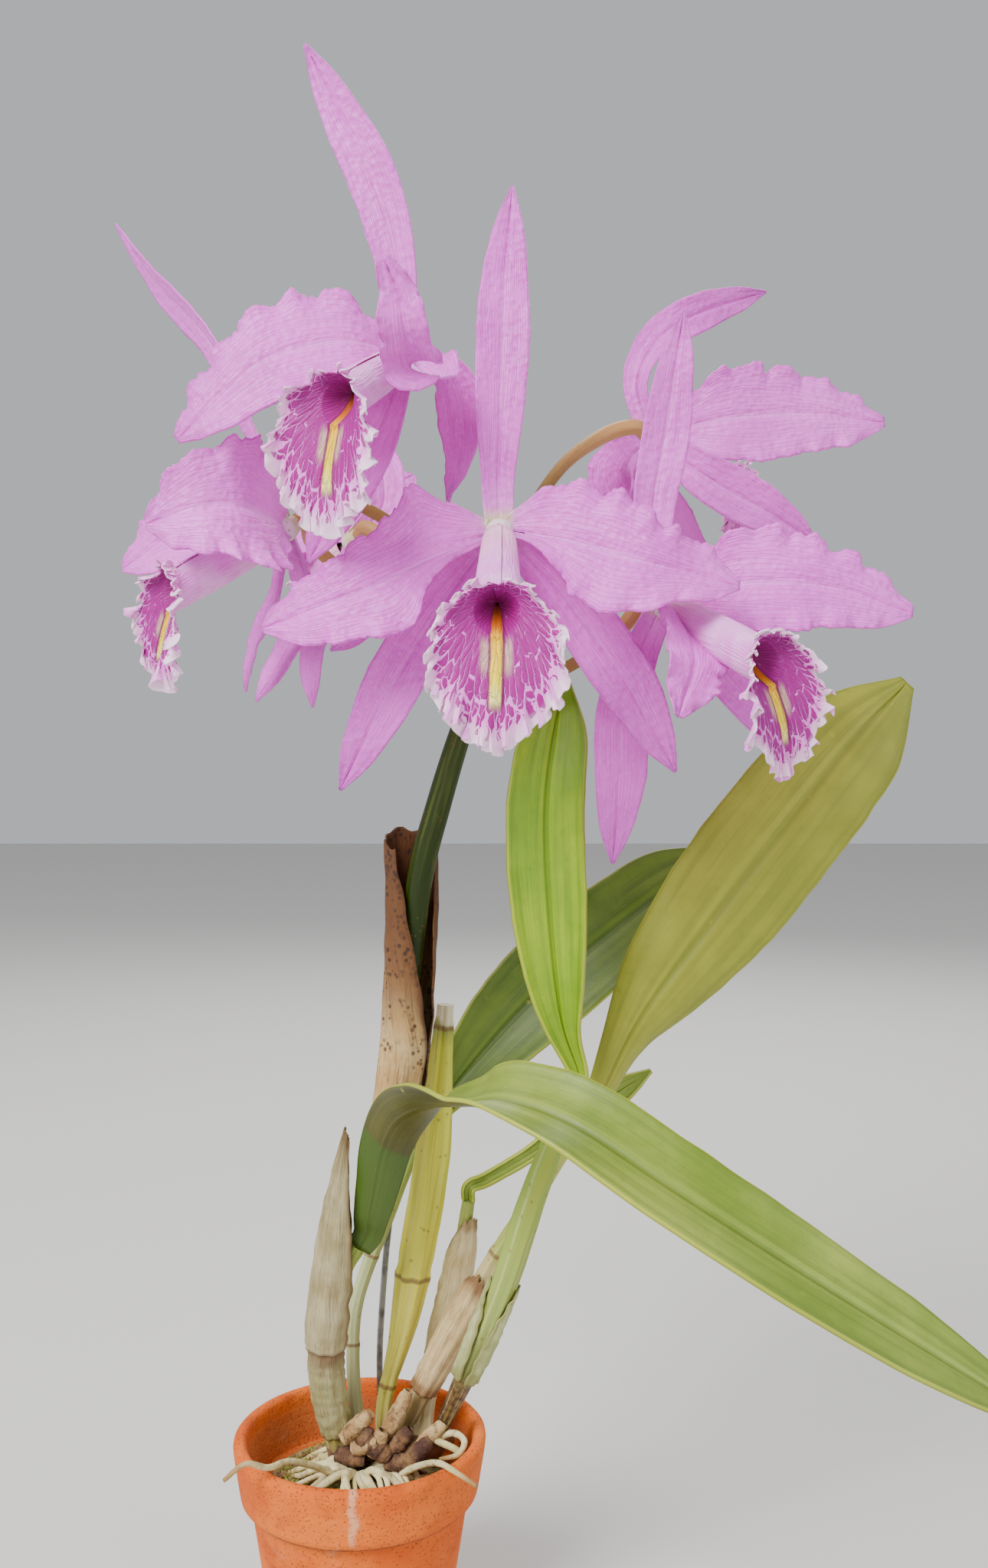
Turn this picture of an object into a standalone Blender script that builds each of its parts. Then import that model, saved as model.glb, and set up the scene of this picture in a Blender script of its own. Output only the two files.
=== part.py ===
"""A cattleya orchid in flower, in its clay pot.

Six blooms stand on one flower stem that rises from a dry, open flower sheath. Each cane
carries one strap leaf, and the canes grow from a knotted rhizome whose thick roots fill
a small clay pot. Metres, +Z up, origin at the centre of the pot's base, front at -Y.
"""

import math
import random
from dataclasses import dataclass

import bmesh
import bpy
from mathutils import Vector

MM = 0.001

# Clay pot, a size sold as 8 cm
RIM_RADIUS = 40 * MM
BAND_BOTTOM_RADIUS = 37.5 * MM
BAND_HEIGHT = 19 * MM
POT_HEIGHT = 73 * MM
NECK_RADIUS = 34.5 * MM
BASE_RADIUS = 26 * MM
WALL = 4.5 * MM
LEDGE_DROP = 17 * MM
FLOOR_THICKNESS = 6 * MM
DRAIN_RADIUS = 3 * MM
DRAIN_CIRCLE = 13 * MM
DRAIN_COUNT = 3
POT_SIDES = 30

# What fills the pot
MIX_TOP = 56 * MM
MIX_DOME = 3 * MM
FIT_GAP = 0.35 * MM
CROWN_RADIUS = 15 * MM
CROWN_DEPTH = 5 * MM
CROWN_PLACE = (2 * MM, -1 * MM)

# The eye that sees every rib at its place in the picture of the plant
EYE = Vector((42.6 * MM, -439 * MM, 279 * MM))
PICTURE_MIDDLE = (645, 1024)
PICTURE_FOCAL = 1795

# Thickness of the living and the dry blades
PETAL_THICKNESS = 0.8 * MM
LEAF_THICKNESS = 1.3 * MM
SHEATH_THICKNESS = 0.7 * MM

# Parts of every bloom
HUB_RADIUS = 4.4 * MM
HUB_LENGTH = 7 * MM
BLADE_SETBACK = 1.2 * MM
COLUMN_RADIUS = 2.6 * MM
COLUMN_LENGTH = 17 * MM
PEDICEL_RADIUS = 2.1 * MM


def seen(across, down, ahead):
    """The point `ahead` mm in front of the pot's axis that the eye sees at that place in the picture."""
    depth = -EYE.y - ahead * MM
    return Vector((
        EYE.x + (across - PICTURE_MIDDLE[0]) * depth / PICTURE_FOCAL,
        -ahead * MM,
        EYE.z - (down - PICTURE_MIDDLE[1]) * depth / PICTURE_FOCAL,
    ))


def smooth_line(points, count):
    """`count` + 1 points, evenly spread, on a smooth curve through the given ones."""
    ends = [2 * points[0] - points[1], *points, 2 * points[-1] - points[-2]]
    fine = []
    for a, b, c, d in zip(ends, ends[1:], ends[2:], ends[3:]):
        for k in range(16):
            t = k / 16
            fine.append(0.5 * (2 * b + (c - a) * t + (2 * a - 5 * b + 4 * c - d) * t * t
                               + (3 * b - a - 3 * c + d) * t ** 3))
    fine.append(points[-1].copy())
    lengths = [0.0]
    for a, b in zip(fine, fine[1:]):
        lengths.append(lengths[-1] + (b - a).length)
    line, k = [], 0
    for i in range(count + 1):
        target = lengths[-1] * i / count
        while k < len(fine) - 2 and lengths[k + 1] < target:
            k += 1
        share = (target - lengths[k]) / max(lengths[k + 1] - lengths[k], 1e-9)
        line.append(fine[k].lerp(fine[k + 1], min(1.0, share)))
    return line


def tangent_at(line, i):
    return (line[min(i + 1, len(line) - 1)] - line[max(i - 1, 0)]).normalized()


def between(values, t):
    """A value read from an evenly spaced list, with straight runs between its entries."""
    place = t * (len(values) - 1)
    k = min(int(place), len(values) - 2)
    return values[k] + (values[k + 1] - values[k]) * (place - k)


def material(name, colour, roughness):
    made = bpy.data.materials.get(name)
    if made is None:
        made = bpy.data.materials.new(name)
        made.use_nodes = True
        shader = made.node_tree.nodes["Principled BSDF"]
        shader.inputs["Base Color"].default_value = (*colour, 1)
        shader.inputs["Roughness"].default_value = roughness
    return made


LAVENDER = material("lavender_petal", (0.62, 0.30, 0.62), 0.5)
MAGENTA = material("magenta_lip", (0.55, 0.05, 0.42), 0.5)
GREEN = material("leaf_green", (0.16, 0.32, 0.07), 0.4)
CANE = material("cane_green", (0.34, 0.40, 0.12), 0.5)
STEM = material("flower_stem_green", (0.22, 0.24, 0.07), 0.5)
PAPER = material("dry_sheath", (0.50, 0.40, 0.27), 0.8)
CLAY = material("clay", (0.52, 0.17, 0.06), 0.85)
MIX = material("moss_and_bark", (0.22, 0.20, 0.09), 0.95)
ROOT = material("root_white", (0.62, 0.62, 0.42), 0.8)
WIRE = material("zinc_wire", (0.45, 0.45, 0.47), 0.4)


def object_from(bm, name, finish):
    mesh = bpy.data.meshes.new(name)
    bm.to_mesh(mesh)
    bm.free()
    mesh.shade_smooth()
    mesh.set_sharp_from_angle(angle=math.radians(40))
    mesh.materials.append(finish)
    made = bpy.data.objects.new(name, mesh)
    bpy.context.scene.collection.objects.link(made)
    return made


def grid_sheet(across, along, place):
    """A grid of triangles, each vertex put where place(v, t) says, v from -1 to 1 and t from 0 to 1."""
    bm = bmesh.new()
    bmesh.ops.create_grid(bm, x_segments=across, y_segments=along, size=1)
    for vertex in bm.verts:
        vertex.co = place(vertex.co.x, (vertex.co.y + 1) / 2)
    bmesh.ops.triangulate(bm, faces=bm.faces[:])
    return bm


def thickened(bm, thickness):
    """The sheet as a closed solid, split alike on both faces."""
    bmesh.ops.recalc_face_normals(bm, faces=bm.faces[:])
    back = bm.verts[:]
    made = bmesh.ops.extrude_face_region(bm, geom=bm.faces[:], use_keep_orig=True)
    front = [item for item in made["geom"] if isinstance(item, bmesh.types.BMVert)]
    bm.normal_update()
    ways = {vertex: vertex.normal * thickness / 2 for vertex in front}
    starts = {tuple(vertex.co): vertex for vertex in front}
    for vertex in back:
        vertex.co -= ways[starts[tuple(vertex.co)]]
    for vertex in front:
        vertex.co += ways[vertex]
    bmesh.ops.recalc_face_normals(bm, faces=bm.faces[:])
    return bm


def swept(path, radii, sides=8, flat=1.0, steps=None, flat_side=Vector((0, -1, 0)), way=None):
    """A round or flattened rod along a smooth path, thick as the evenly spaced radii say."""
    line = smooth_line(path, steps or 2 * (len(path) - 1))
    bm = bmesh.new()
    rings = []
    for i, point in enumerate(line):
        along = way if way and i == 0 else tangent_at(line, i)
        normal = (flat_side - along * flat_side.dot(along)).normalized()
        side = along.cross(normal)
        radius = between(radii, i / (len(line) - 1))
        ring = bmesh.ops.create_circle(bm, segments=sides, radius=1)["verts"]
        for vertex in ring:
            x, y = vertex.co.x * radius, vertex.co.y * radius * flat
            vertex.co = point + side * x + normal * y
        rings.append(ring)
    for a, b in zip(rings, rings[1:]):
        loops = [edge for edge in bm.edges if all(v in a or v in b for v in edge.verts)]
        bmesh.ops.bridge_loops(bm, edges=loops)
    for ring in (rings[0], rings[-1]):
        bmesh.ops.contextual_create(bm, geom=ring)
    bmesh.ops.recalc_face_normals(bm, faces=bm.faces[:])
    return bm


def union(name, pieces, finish):
    """One closed body from overlapping closed pieces, which are removed."""
    body = pieces[0]
    others = bpy.data.collections.new(name + "_pieces")
    bpy.context.scene.collection.children.link(others)
    for piece in pieces[1:]:
        others.objects.link(piece)
    join = body.modifiers.new("join", "BOOLEAN")
    join.operation = "UNION"
    join.operand_type = "COLLECTION"
    join.solver = "MANIFOLD"
    join.collection = others
    apply_modifiers(body)
    for piece in pieces[1:]:
        bpy.data.objects.remove(piece)
    bpy.data.collections.remove(others)
    body.name = name
    body.data.name = name
    body.data.materials.clear()
    body.data.materials.append(finish)
    return body


def apply_modifiers(body):
    graph = bpy.context.evaluated_depsgraph_get()
    made = bpy.data.meshes.new_from_object(body.evaluated_get(graph))
    body.modifiers.clear()
    body.data = made


def cut(body, cutter):
    """Takes the cutter's space out of the body and removes the cutter."""
    remove = body.modifiers.new("cut", "BOOLEAN")
    remove.operation = "DIFFERENCE"
    remove.solver = "MANIFOLD"
    remove.object = cutter
    apply_modifiers(body)
    bpy.data.objects.remove(cutter)


def keep_largest(body):
    """The body with only its largest piece left, where a cut has left crumbs."""
    bm = bmesh.new()
    bm.from_mesh(body.data)
    unseen, pieces = set(bm.verts), []
    while unseen:
        piece, edge = set(), [unseen.pop()]
        while edge:
            vertex = edge.pop()
            piece.add(vertex)
            near = {link.other_vert(vertex) for link in vertex.link_edges} & unseen
            unseen -= near
            edge.extend(near)
        pieces.append(piece)
    largest = max(pieces, key=len)
    crumbs = [vertex for piece in pieces if piece is not largest for vertex in piece]
    bmesh.ops.delete(bm, geom=crumbs, context="VERTS")
    bm.to_mesh(body.data)
    bm.free()
    return body


# Outlines: half width as a share of the widest, from base to tip
SEPAL_OUTLINE = (0.55, 0.62, 0.78, 0.93, 1.0, 0.97, 0.84, 0.58, 0.06)
PETAL_OUTLINE = (0.14, 0.42, 0.86, 1.0, 0.96, 0.84, 0.70, 0.50, 0.10)
STRAP_OUTLINE = (0.22, 0.40, 0.74, 0.92, 1.0, 1.0, 0.95, 0.78, 0.14)
FOLDED_OUTLINE = (0.25, 0.54, 0.74, 0.95, 1.0, 1.0, 0.95, 0.72, 0.12)
SMALL_OUTLINE = (0.42, 0.45, 0.48, 0.52, 0.70, 0.95, 1.0, 0.70, 0.10)
CURLED_OUTLINE = (0.30, 0.90, 1.0, 0.95, 0.92, 0.90, 0.80, 0.60, 0.25)

# The upper and lower edges of the front bloom's lobed petals
LEFT_UPPER = (0.10, 0.55, 1.0, 0.78, 0.70, 0.60, 0.50, 0.42, 0.08)
LEFT_LOWER = (0.10, 0.12, 0.16, 0.36, 0.80, 0.66, 0.56, 0.40, 0.08)
RIGHT_UPPER = (0.10, 0.62, 0.86, 0.88, 0.86, 0.66, 0.55, 0.48, 0.08)
RIGHT_LOWER = (0.10, 0.12, 0.36, 0.76, 0.94, 0.78, 0.48, 0.36, 0.06)


@dataclass
class Blade:
    """A sepal, petal or leaf: its midrib in the picture, and how wide it is and which way it faces."""

    rib: tuple
    half_width: float
    faces: tuple
    outline: tuple = SEPAL_OUTLINE
    other: tuple = None
    roll: tuple = (35, 20, 10)
    wave: float = 0.0
    waves: float = 4.0


def blade_place(blade, along, base, way=None):
    """place(v, t) for a blade that leaves its base, its edges rolled and waved round a smooth midrib."""
    points = [base, base + way * 5 * MM] if way else [base]
    line = smooth_line(points + [seen(*point) for point in blade.rib], along)
    faces = [Vector(face) for face in blade.faces]

    def place(v, t):
        i = round(t * along)
        tangent = way if way and i == 0 else tangent_at(line, i)
        face = between(faces, t)
        face = (face - tangent * face.dot(tangent)).normalized()
        side = tangent.cross(face)
        outline = blade.outline if v > 0 else blade.other or blade.outline
        width = between(outline, t) * blade.half_width * MM
        roll = math.radians(max(abs(between(blade.roll, t)), 0.5))
        lift = -1 if between(blade.roll, t) < 0 else 1
        x = math.sin(roll * v) * width / roll
        z = (1 - math.cos(roll * v)) * width / roll * lift
        swing = math.sin(2 * math.pi * blade.waves * t + (1.3 if v > 0 else 0))
        z += blade.wave * MM * abs(v) ** 2.5 * swing * min(1, 3 * t)
        return line[i] + side * x + face * z

    return place


def make_blade(name, blade, thickness, across, along, finish, base, way=None):
    sheet = grid_sheet(across, along, blade_place(blade, along, base, way))
    return object_from(thickened(sheet, thickness), name, finish)


@dataclass
class Lip:
    """The frilled lip: a tube from the bloom's hub to its throat, and a flared face round the throat."""

    throat: tuple
    tip: tuple
    face: tuple
    side_reach: float = 17.5
    top_reach: float = 7.5
    bend_back: float = 6.0
    cup: float = 1.0
    throat_radius: float = 6.4


@dataclass
class Bloom:
    """One flower: its hub, its blades, its lip and its pedicel."""

    hub: tuple
    blades: dict
    lip: Lip
    pedicel: tuple
    petal_steps: int = 7


def petal(rib, half_width, face, face_tip=None, roll=(30, 8, -12), waves=3.5,
          outlines=(PETAL_OUTLINE, None)):
    return Blade(rib, half_width, (face, face_tip or face), *outlines, roll, 1.6, waves)


def sepal(rib, half_width, face, face_tip=None, roll=(40, 22, 12)):
    return Blade(rib, half_width, (face, face_tip or face), SEPAL_OUTLINE, None, roll)


def leaf(rib, half_width, faces, roll=(70, 25, 15), outline=STRAP_OUTLINE):
    return Blade(rib, half_width, faces, outline, None, roll)


BLOOMS = {
    "front": Bloom(
        hub=(652, 694, 62),
        blades={
            "dorsal_sepal": sepal(((650, 620, 61), (655, 480, 58), (660, 350, 55), (669, 243, 54)),
                                  7.6, (0, -1, 0.1)),
            "left_petal": petal(((560, 732, 68), (470, 772, 71), (343, 820, 64)),
                                20, (0.1, -1, 0.1), (-0.1, -1, 0.3), outlines=(LEFT_UPPER, LEFT_LOWER)),
            "right_petal": petal(((745, 708, 69), (850, 735, 74), (966, 766, 68)),
                                 18.5, (-0.1, -1, 0.1), (0.1, -1, 0.3), outlines=(RIGHT_LOWER, RIGHT_UPPER)),
            "left_sepal": sepal(((592, 768, 58), (520, 880, 56), (444, 1032, 46)),
                                8.2, (0.1, -1, 0.1)),
            "right_sepal": sepal(((735, 776, 58), (816, 888, 58), (882, 1008, 50)),
                                 8.6, (-0.1, -1, 0.1)),
        },
        lip=Lip(throat=(649, 800, 91), tip=(646, 983, 90), face=(0, -1, 0.12)),
        pedicel=((650, 810, 33), (652, 762, 42), (652, 694, 58)),
        petal_steps=8,
    ),
    "upper_left": Bloom(
        hub=(528, 468, 46),
        blades={
            "dorsal_sepal": sepal(((520, 350, 44), (488, 235, 40), (438, 135, 40), (398, 57, 42)),
                                  7.6, (-0.3, -1, 0)),
            "left_petal": petal(((452, 444, 58), (340, 474, 66), (230, 574, 64)),
                                16.5, (-0.2, -1, 0.25), (-0.4, -1, 0.2)),
            "right_petal": petal(((562, 488, 58), (540, 482, 76), (528, 430, 88), (520, 385, 90),
                                  (500, 336, 92)),
                                 8.5, (0.2, -1, 0.4), (-0.3, -1, 0.1), roll=(20, 40, 20), waves=2.5,
                                 outlines=(CURLED_OUTLINE, None)),
            "left_sepal": sepal(((494, 560, 46), (452, 640, 46), (402, 735, 46)),
                                8.4, (-0.2, -1, 0)),
            "right_sepal": sepal(((590, 498, 40), (604, 580, 36), (584, 655, 34)),
                                 7.4, (0.3, -1, 0.1), (-0.9, -0.5, 0.2)),
        },
        lip=Lip(throat=(440, 524, 80), tip=(398, 690, 84), face=(-0.6, -0.8, 0.05), cup=4.0),
        pedicel=((640, 800, 34), (560, 722, 20), (505, 680, 18), (452, 644, 20), (446, 590, 22),
                 (486, 520, 30), (528, 478, 42)),
    ),
    "left": Bloom(
        hub=(374, 690, 36),
        blades={
            "dorsal_sepal": sepal(((334, 570, 32), (276, 450, 24), (200, 365, 12), (151, 293, 4)),
                                  5.6, (-0.85, -0.5, -0.3)),
            "near_petal": petal(((330, 664, 57), (268, 660, 66), (190, 684, 63)),
                                19, (0.1, -1, 0.1), (-0.2, -1, 0.1), roll=(35, 25, 10)),
            "far_petal": petal(((300, 690, 18), (226, 700, 6), (160, 742, -4)),
                               17, (-0.4, -1, 0.1), (-0.2, -0.9, 0.4), roll=(30, 25, 10)),
            "near_sepal": sepal(((362, 780, 32), (332, 845, 26), (320, 903, 24)),
                                6.0, (-0.9, -0.5, 0.2)),
            "far_sepal": sepal(((404, 790, 20), (372, 855, 14), (334, 916, 12)),
                               7.0, (-0.5, -0.8, 0.5)),
        },
        lip=Lip(throat=(224, 772, 58), tip=(212, 898, 54), face=(-0.85, -0.62, 0.1),
                side_reach=14, top_reach=6.5, cup=2.0),
        pedicel=((636, 838, 32), (560, 800, 14), (470, 760, 4), (410, 712, 14), (374, 692, 30)),
    ),
    "back_left": Bloom(
        hub=(462, 706, -14),
        blades={
            "dorsal_sepal": sepal(((500, 660, -16), (498, 610, -22), (474, 560, -34)),
                                  7.0, (0.3, -1, 0)),
            "left_petal": petal(((430, 694, -24), (395, 704, -36), (330, 722, -52)),
                                13, (-0.2, -0.9, 0.5)),
            "right_petal": petal(((480, 672, -30), (500, 640, -48), (540, 620, -64)),
                                 14, (0.3, -0.8, 0.5)),
            "left_sepal": sepal(((428, 800, -14), (408, 860, -12), (408, 924, -12)),
                                6.0, (-0.6, -0.8, 0)),
            "right_sepal": sepal(((486, 760, -20), (470, 812, -26), (432, 850, -30)),
                                 7.0, (-0.2, -1, 0.1)),
        },
        lip=Lip(throat=(418, 748, -32), tip=(384, 812, -44), face=(-0.8, 0.3, 0.3),
                side_reach=12, top_reach=7),
        pedicel=((648, 762, 34), (580, 732, 8), (520, 712, -2), (470, 706, -11)),
    ),
    "right": Bloom(
        hub=(868, 790, 44),
        blades={
            "dorsal_sepal": sepal(((852, 680, 40), (870, 560, 38), (893, 405, 36)),
                                  7.2, (0.1, -1, 0)),
            "right_petal": petal(((965, 762, 52), (1078, 765, 52), (1192, 800, 46)),
                                 15.5, (0.1, -1, 0.2), (0.2, -1, 0.3)),
            "left_petal": petal(((894, 812, 58), (908, 862, 70), (886, 936, 76)),
                                12, (0.6, -0.7, 0.3), (0.3, -0.9, 0.2), roll=(30, 20, 10), waves=2.5),
            "left_sepal": sepal(((816, 905, 40), (810, 1010, 38), (800, 1128, 36)),
                                8.0, (0, -1, 0)),
            "right_sepal": sepal(((935, 868, 42), (985, 925, 42), (1030, 985, 40)),
                                 7.2, (0.2, -1, 0.2)),
        },
        lip=Lip(throat=(1000, 866, 80), tip=(1052, 1012, 80), face=(0.62, -0.78, 0.1),
                side_reach=15, cup=3.0),
        pedicel=((621, 908, 32), (690, 892, 34), (740, 872, 34), (805, 828, 34), (860, 794, 40)),
    ),
    "upper_right": Bloom(
        hub=(852, 572, -8),
        blades={
            "dorsal_sepal": sepal(((832, 500, -8), (862, 440, -12), (925, 404, -20), (1000, 381, -30)),
                                  6.6, (-0.6, -0.8, 0), (-0.3, -0.8, -0.5)),
            "near_petal": petal(((950, 546, -4), (1055, 540, -10), (1154, 552, -20)),
                                16, (0.1, -1, 0.1), (0.1, -1, 0.1)),
            "far_petal": petal(((818, 612, -26), (846, 650, -40), (904, 672, -52)),
                               13, (-0.3, -1, 0.2)),
            "near_sepal": sepal(((925, 625, 0), (990, 662, 2), (1066, 708, 0)),
                                8.0, (0.1, -1, -0.2)),
            "far_sepal": sepal(((856, 632, -26), (890, 690, -40), (930, 740, -50)),
                               7.4, (0.3, -0.9, 0.2)),
        },
        lip=Lip(throat=(956, 634, -34), tip=(982, 698, -40), face=(0.8, 0.35, 0.3),
                side_reach=12, top_reach=7),
        pedicel=((652, 748, 34), (690, 672, 26), (737, 606, 12), (790, 568, 0), (846, 572, -7)),
    ),
}

# The front leaf shows its underside as it rises, then turns its upper face up and forwards
FOLD_FACES = ((0.1, 1, 0.1), (0.1, 1, 0), (0, 1, 0.15), (0.05, 0.25, 0.97), (0.1, -0.35, 0.93),
              *[(0.1, -0.45, 0.9)] * 6, *[(0.15, -0.45, 0.9)] * 2)

LEAVES = {
    "leaf_centre": leaf(((733, 1330, 20), (718, 1190, 24), (714, 1040, 26), (736, 886, 22)),
                        12.5, ((-0.1, -1, 0.1), (-0.1, -1, 0.1)), (80, 45, 25)),
    "leaf_right": leaf(((838, 1328, 10), (964, 1158, 12), (1092, 994, 8), (1184, 892, 2)),
                       20, ((0.2, -1, 0), (0, -1, 0.1)), (-60, -20, -12)),
    "leaf_back": leaf(((592, 1420, -27), (690, 1310, -33), (800, 1215, -36), (935, 1112, -38)),
                      17, ((-0.2, -1, 0.1), (-0.2, -1, 0.2))),
    "leaf_front": leaf(((484, 1590, 15), (493, 1545, 17), (503, 1500, 20), (522, 1464, 27), (560, 1443, 38),
                        (606, 1440, 50), (660, 1437, 60), (750, 1470, 72), (870, 1548, 82), (1000, 1632, 88),
                        (1120, 1708, 91), (1290, 1814, 94), (1380, 1872, 94)),
                       15.5, FOLD_FACES, (18, 55, 25, 15, 12), FOLDED_OUTLINE),
    "leaf_small": leaf(((640, 1538, -9), (700, 1502, -12), (775, 1448, -14), (850, 1398, -16)),
                       5.5, ((-0.2, -1, 0.2), (-0.2, -1, 0.2)), (70, 60, 40), SMALL_OUTLINE),
}

# The cane that carries each leaf and the stem, and how far off its axis and which way, in mm
SEAT_SIDE = (0.3, -1, 0)
SEATS = {
    "leaf_centre": ("right", 0, SEAT_SIDE),
    "leaf_right": ("leaning", 0, SEAT_SIDE),
    "leaf_back": ("thin", 0, SEAT_SIDE),
    "leaf_front": ("leading", 2.3, SEAT_SIDE),
    "leaf_small": ("papery", 0, SEAT_SIDE),
    "flower_stem": ("leading", -1.2, SEAT_SIDE),
}

# Canes: the line in the picture, then the radii in mm from the base up
CANES = {
    "leading": (((444, 1886, -4), (427, 1805, 0), (428, 1725, 5), (444, 1662, 9), (467, 1626, 10)),
                (4.4, 4.2, 4.0, 3.6, 2.8)),
    "thin": (((474, 1892, -6), (464, 1830, -12), (461, 1760, -16), (468, 1692, -17), (504, 1590, -19),
              (541, 1498, -21)),
             (2.4, 2.2, 2.2, 2.6, 2.2)),
    "tall": (((498, 1890, -6), (502, 1828, -11), (524, 1740, -11), (543, 1640, -11), (566, 1500, -11),
              (582, 1312, -11)),
             (2.2, 2.8, 5.0, 5.5, 5.3, 4.0, 2.6)),
    "papery": (((552, 1890, -3), (558, 1830, -15), (574, 1760, -22), (598, 1660, -16), (612, 1568, -8)),
               (2.8, 2.6, 2.8, 2.6, 2.0)),
    "leaning": (((522, 1872, -8), (584, 1755, -4), (644, 1648, 0), (700, 1560, 2), (778, 1436, 4)),
                (3.2, 3.2, 3.0, 2.4, 2.0)),
    "right": (((566, 1886, -2), (614, 1782, 9), (660, 1672, 13), (694, 1568, 14), (748, 1424, 16)),
              (1.8, 3.2, 4.0, 3.9, 2.2)),
    "cut_stub": (((538, 1888, -4), (549, 1800, -17)), (2.0, 2.0)),
}
RHIZOME = ((430, 1896, -4), (462, 1890, -4), (496, 1892, -4), (524, 1902, 2), (552, 1892, 2), (584, 1876, -6))
RHIZOME_RADII = (3.4, 4.4, 4.8, 5.0, 4.2, 3.0)


@dataclass
class Sheath:
    """A dry sheath rolled round a line: its radii in mm, how far round it reaches, and its open side."""

    line: tuple
    radii: tuple
    reach: tuple
    faces: tuple
    taper: float = 0.0


@dataclass
class CaneSheath:
    """The share of a cane that a dry sheath wraps, and the points its free tip passes beyond the cane."""

    cane: str
    span: tuple
    beyond: tuple
    radii: tuple
    reach: tuple
    faces: tuple
    taper: float = 0.0


FLOWER_SHEATH = Sheath(
    ((495, 1540, 5), (508, 1492, 4), (524, 1400, 2), (534, 1300, 3), (537, 1180, 5), (536, 1094, 7)),
    (4.4, 7.2, 7.8, 7.8, 8.1, 8.1), (168, 168, 170, 160, 142, 128),
    ((1, -0.1, 0), (1, -0.1, 0), (0.96, -0.27, 0), (0.72, -0.69, 0), (0.5, -0.87, 0), (0.34, -0.94, 0)), 5)

CANE_SHEATHS = {
    "leading_cane_sheath": CaneSheath(
        "leading", (0.12, 0.66), ((450, 1570, 12), (458, 1480, 13)),
        (5.4, 6.2, 6.9, 6.4, 4.4, 1.8), (165, 160, 150, 120, 100, 80), ((1, 0.1, 0), (1, 0.1, 0)), 3),
    "right_cane_sheath": CaneSheath(
        "right", (0.24, 0.53), (), (4.3, 4.8, 4.9, 4.8), (168, 165, 150, 112),
        ((-0.1, -1, 0.2), (-0.1, -1, 0.2)), 2),
    "papery_cane_sheath": CaneSheath(
        "papery", (0.34, 0.96), (), (4.4, 5.0, 4.8, 3.4), (165, 160, 150, 60),
        ((-0.5, 0.8, 0.2), (-0.5, 0.8, 0.2)), 3),
    "leaning_cane_sheath": CaneSheath(
        "leaning", (0.14, 0.52), (), (4.3, 4.8, 5.0, 4.4), (168, 165, 150, 60),
        ((0.6, 0.6, 0.4), (0.6, 0.6, 0.4)), 3),
}

STEM_LINE = ((503, 1510, 4), (521, 1380, 2), (535, 1260, 4), (549, 1143, 11),
             (573, 1050, 20), (601, 958, 28), (636, 860, 33), (650, 780, 34), (654, 730, 34))
STEM_RADII = (1.7, 2.6, 3.2, 3.6, 3.9, 4.0, 3.8, 3.4, 3.0, 2.4)

WIRE_LINE = ((497, 1850, -26), (496, 1760, -25), (503, 1650, -24), (512, 1560, -24), (520, 1460, -23),
             (526, 1330, -20))
WIRE_RADIUS = 1.1 * MM

ROOT_COUNT = 17
ROOT_RADIUS = 1.1 * MM
ROOT_SEED = 5
RIM_ROOTS = {
    "left": ((446, 1930, 4), (410, 1915, 14), (377, 1909, 23), (350, 1917, 31), (320, 1912, 35),
             (292, 1934, 36)),
    "right": ((512, 1930, 5), (546, 1915, 14), (572, 1911, 25), (592, 1921, 33), (622, 1941, 38)),
}


def turned(name, profile, steps, finish):
    """A closed body turned round the Z axis from a profile of radii and heights."""
    bm = bmesh.new()
    points = [bm.verts.new((radius, 0, height)) for radius, height in profile]
    for a, b in zip(points, points[1:]):
        bm.edges.new((a, b))
    bmesh.ops.spin(bm, geom=bm.verts[:] + bm.edges[:], cent=(0, 0, 0), axis=(0, 0, 1),
                   angle=2 * math.pi, steps=steps, use_merge=True)
    bmesh.ops.remove_doubles(bm, verts=bm.verts[:], dist=1e-6)
    bmesh.ops.recalc_face_normals(bm, faces=bm.faces[:])
    return object_from(bm, name, finish)


def round_cutter(radius, depth, x, y, z):
    """An upright cylinder, its middle at the given place."""
    bm = bmesh.new()
    bmesh.ops.create_cone(bm, cap_ends=True, segments=12, radius1=radius, radius2=radius, depth=depth)
    bmesh.ops.translate(bm, verts=bm.verts[:], vec=(x, y, z))
    return object_from(bm, "round_cutter", CLAY)


def make_pot():
    """The clay pot: a turned wall with a band round its rim and a ledge inside, and three drain holes."""
    inner_neck = NECK_RADIUS - WALL
    ledge = POT_HEIGHT - LEDGE_DROP
    pot = turned("pot", [
        (0, 0), (BASE_RADIUS - 2 * MM, 0), (BASE_RADIUS, 1.2 * MM),
        (NECK_RADIUS, POT_HEIGHT - BAND_HEIGHT), (BAND_BOTTOM_RADIUS, POT_HEIGHT - BAND_HEIGHT + 1 * MM),
        (RIM_RADIUS, POT_HEIGHT - 2.4 * MM), (RIM_RADIUS - 0.8 * MM, POT_HEIGHT - 0.5 * MM),
        (RIM_RADIUS - 2.4 * MM, POT_HEIGHT), (RIM_RADIUS - 4.0 * MM, POT_HEIGHT - 1.4 * MM),
        (inner_neck + 3.4 * MM, ledge), (inner_neck, ledge - 1.5 * MM),
        (BASE_RADIUS - WALL, FLOOR_THICKNESS + 1 * MM), (BASE_RADIUS - WALL - 2 * MM, FLOOR_THICKNESS),
        (0, FLOOR_THICKNESS),
    ], POT_SIDES, CLAY)
    for i in range(DRAIN_COUNT):
        turn = 2 * math.pi * (i + 0.25) / DRAIN_COUNT
        x, y = DRAIN_CIRCLE * math.cos(turn), DRAIN_CIRCLE * math.sin(turn)
        cut(pot, round_cutter(DRAIN_RADIUS, 3 * FLOOR_THICKNESS, x, y, 0))


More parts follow.
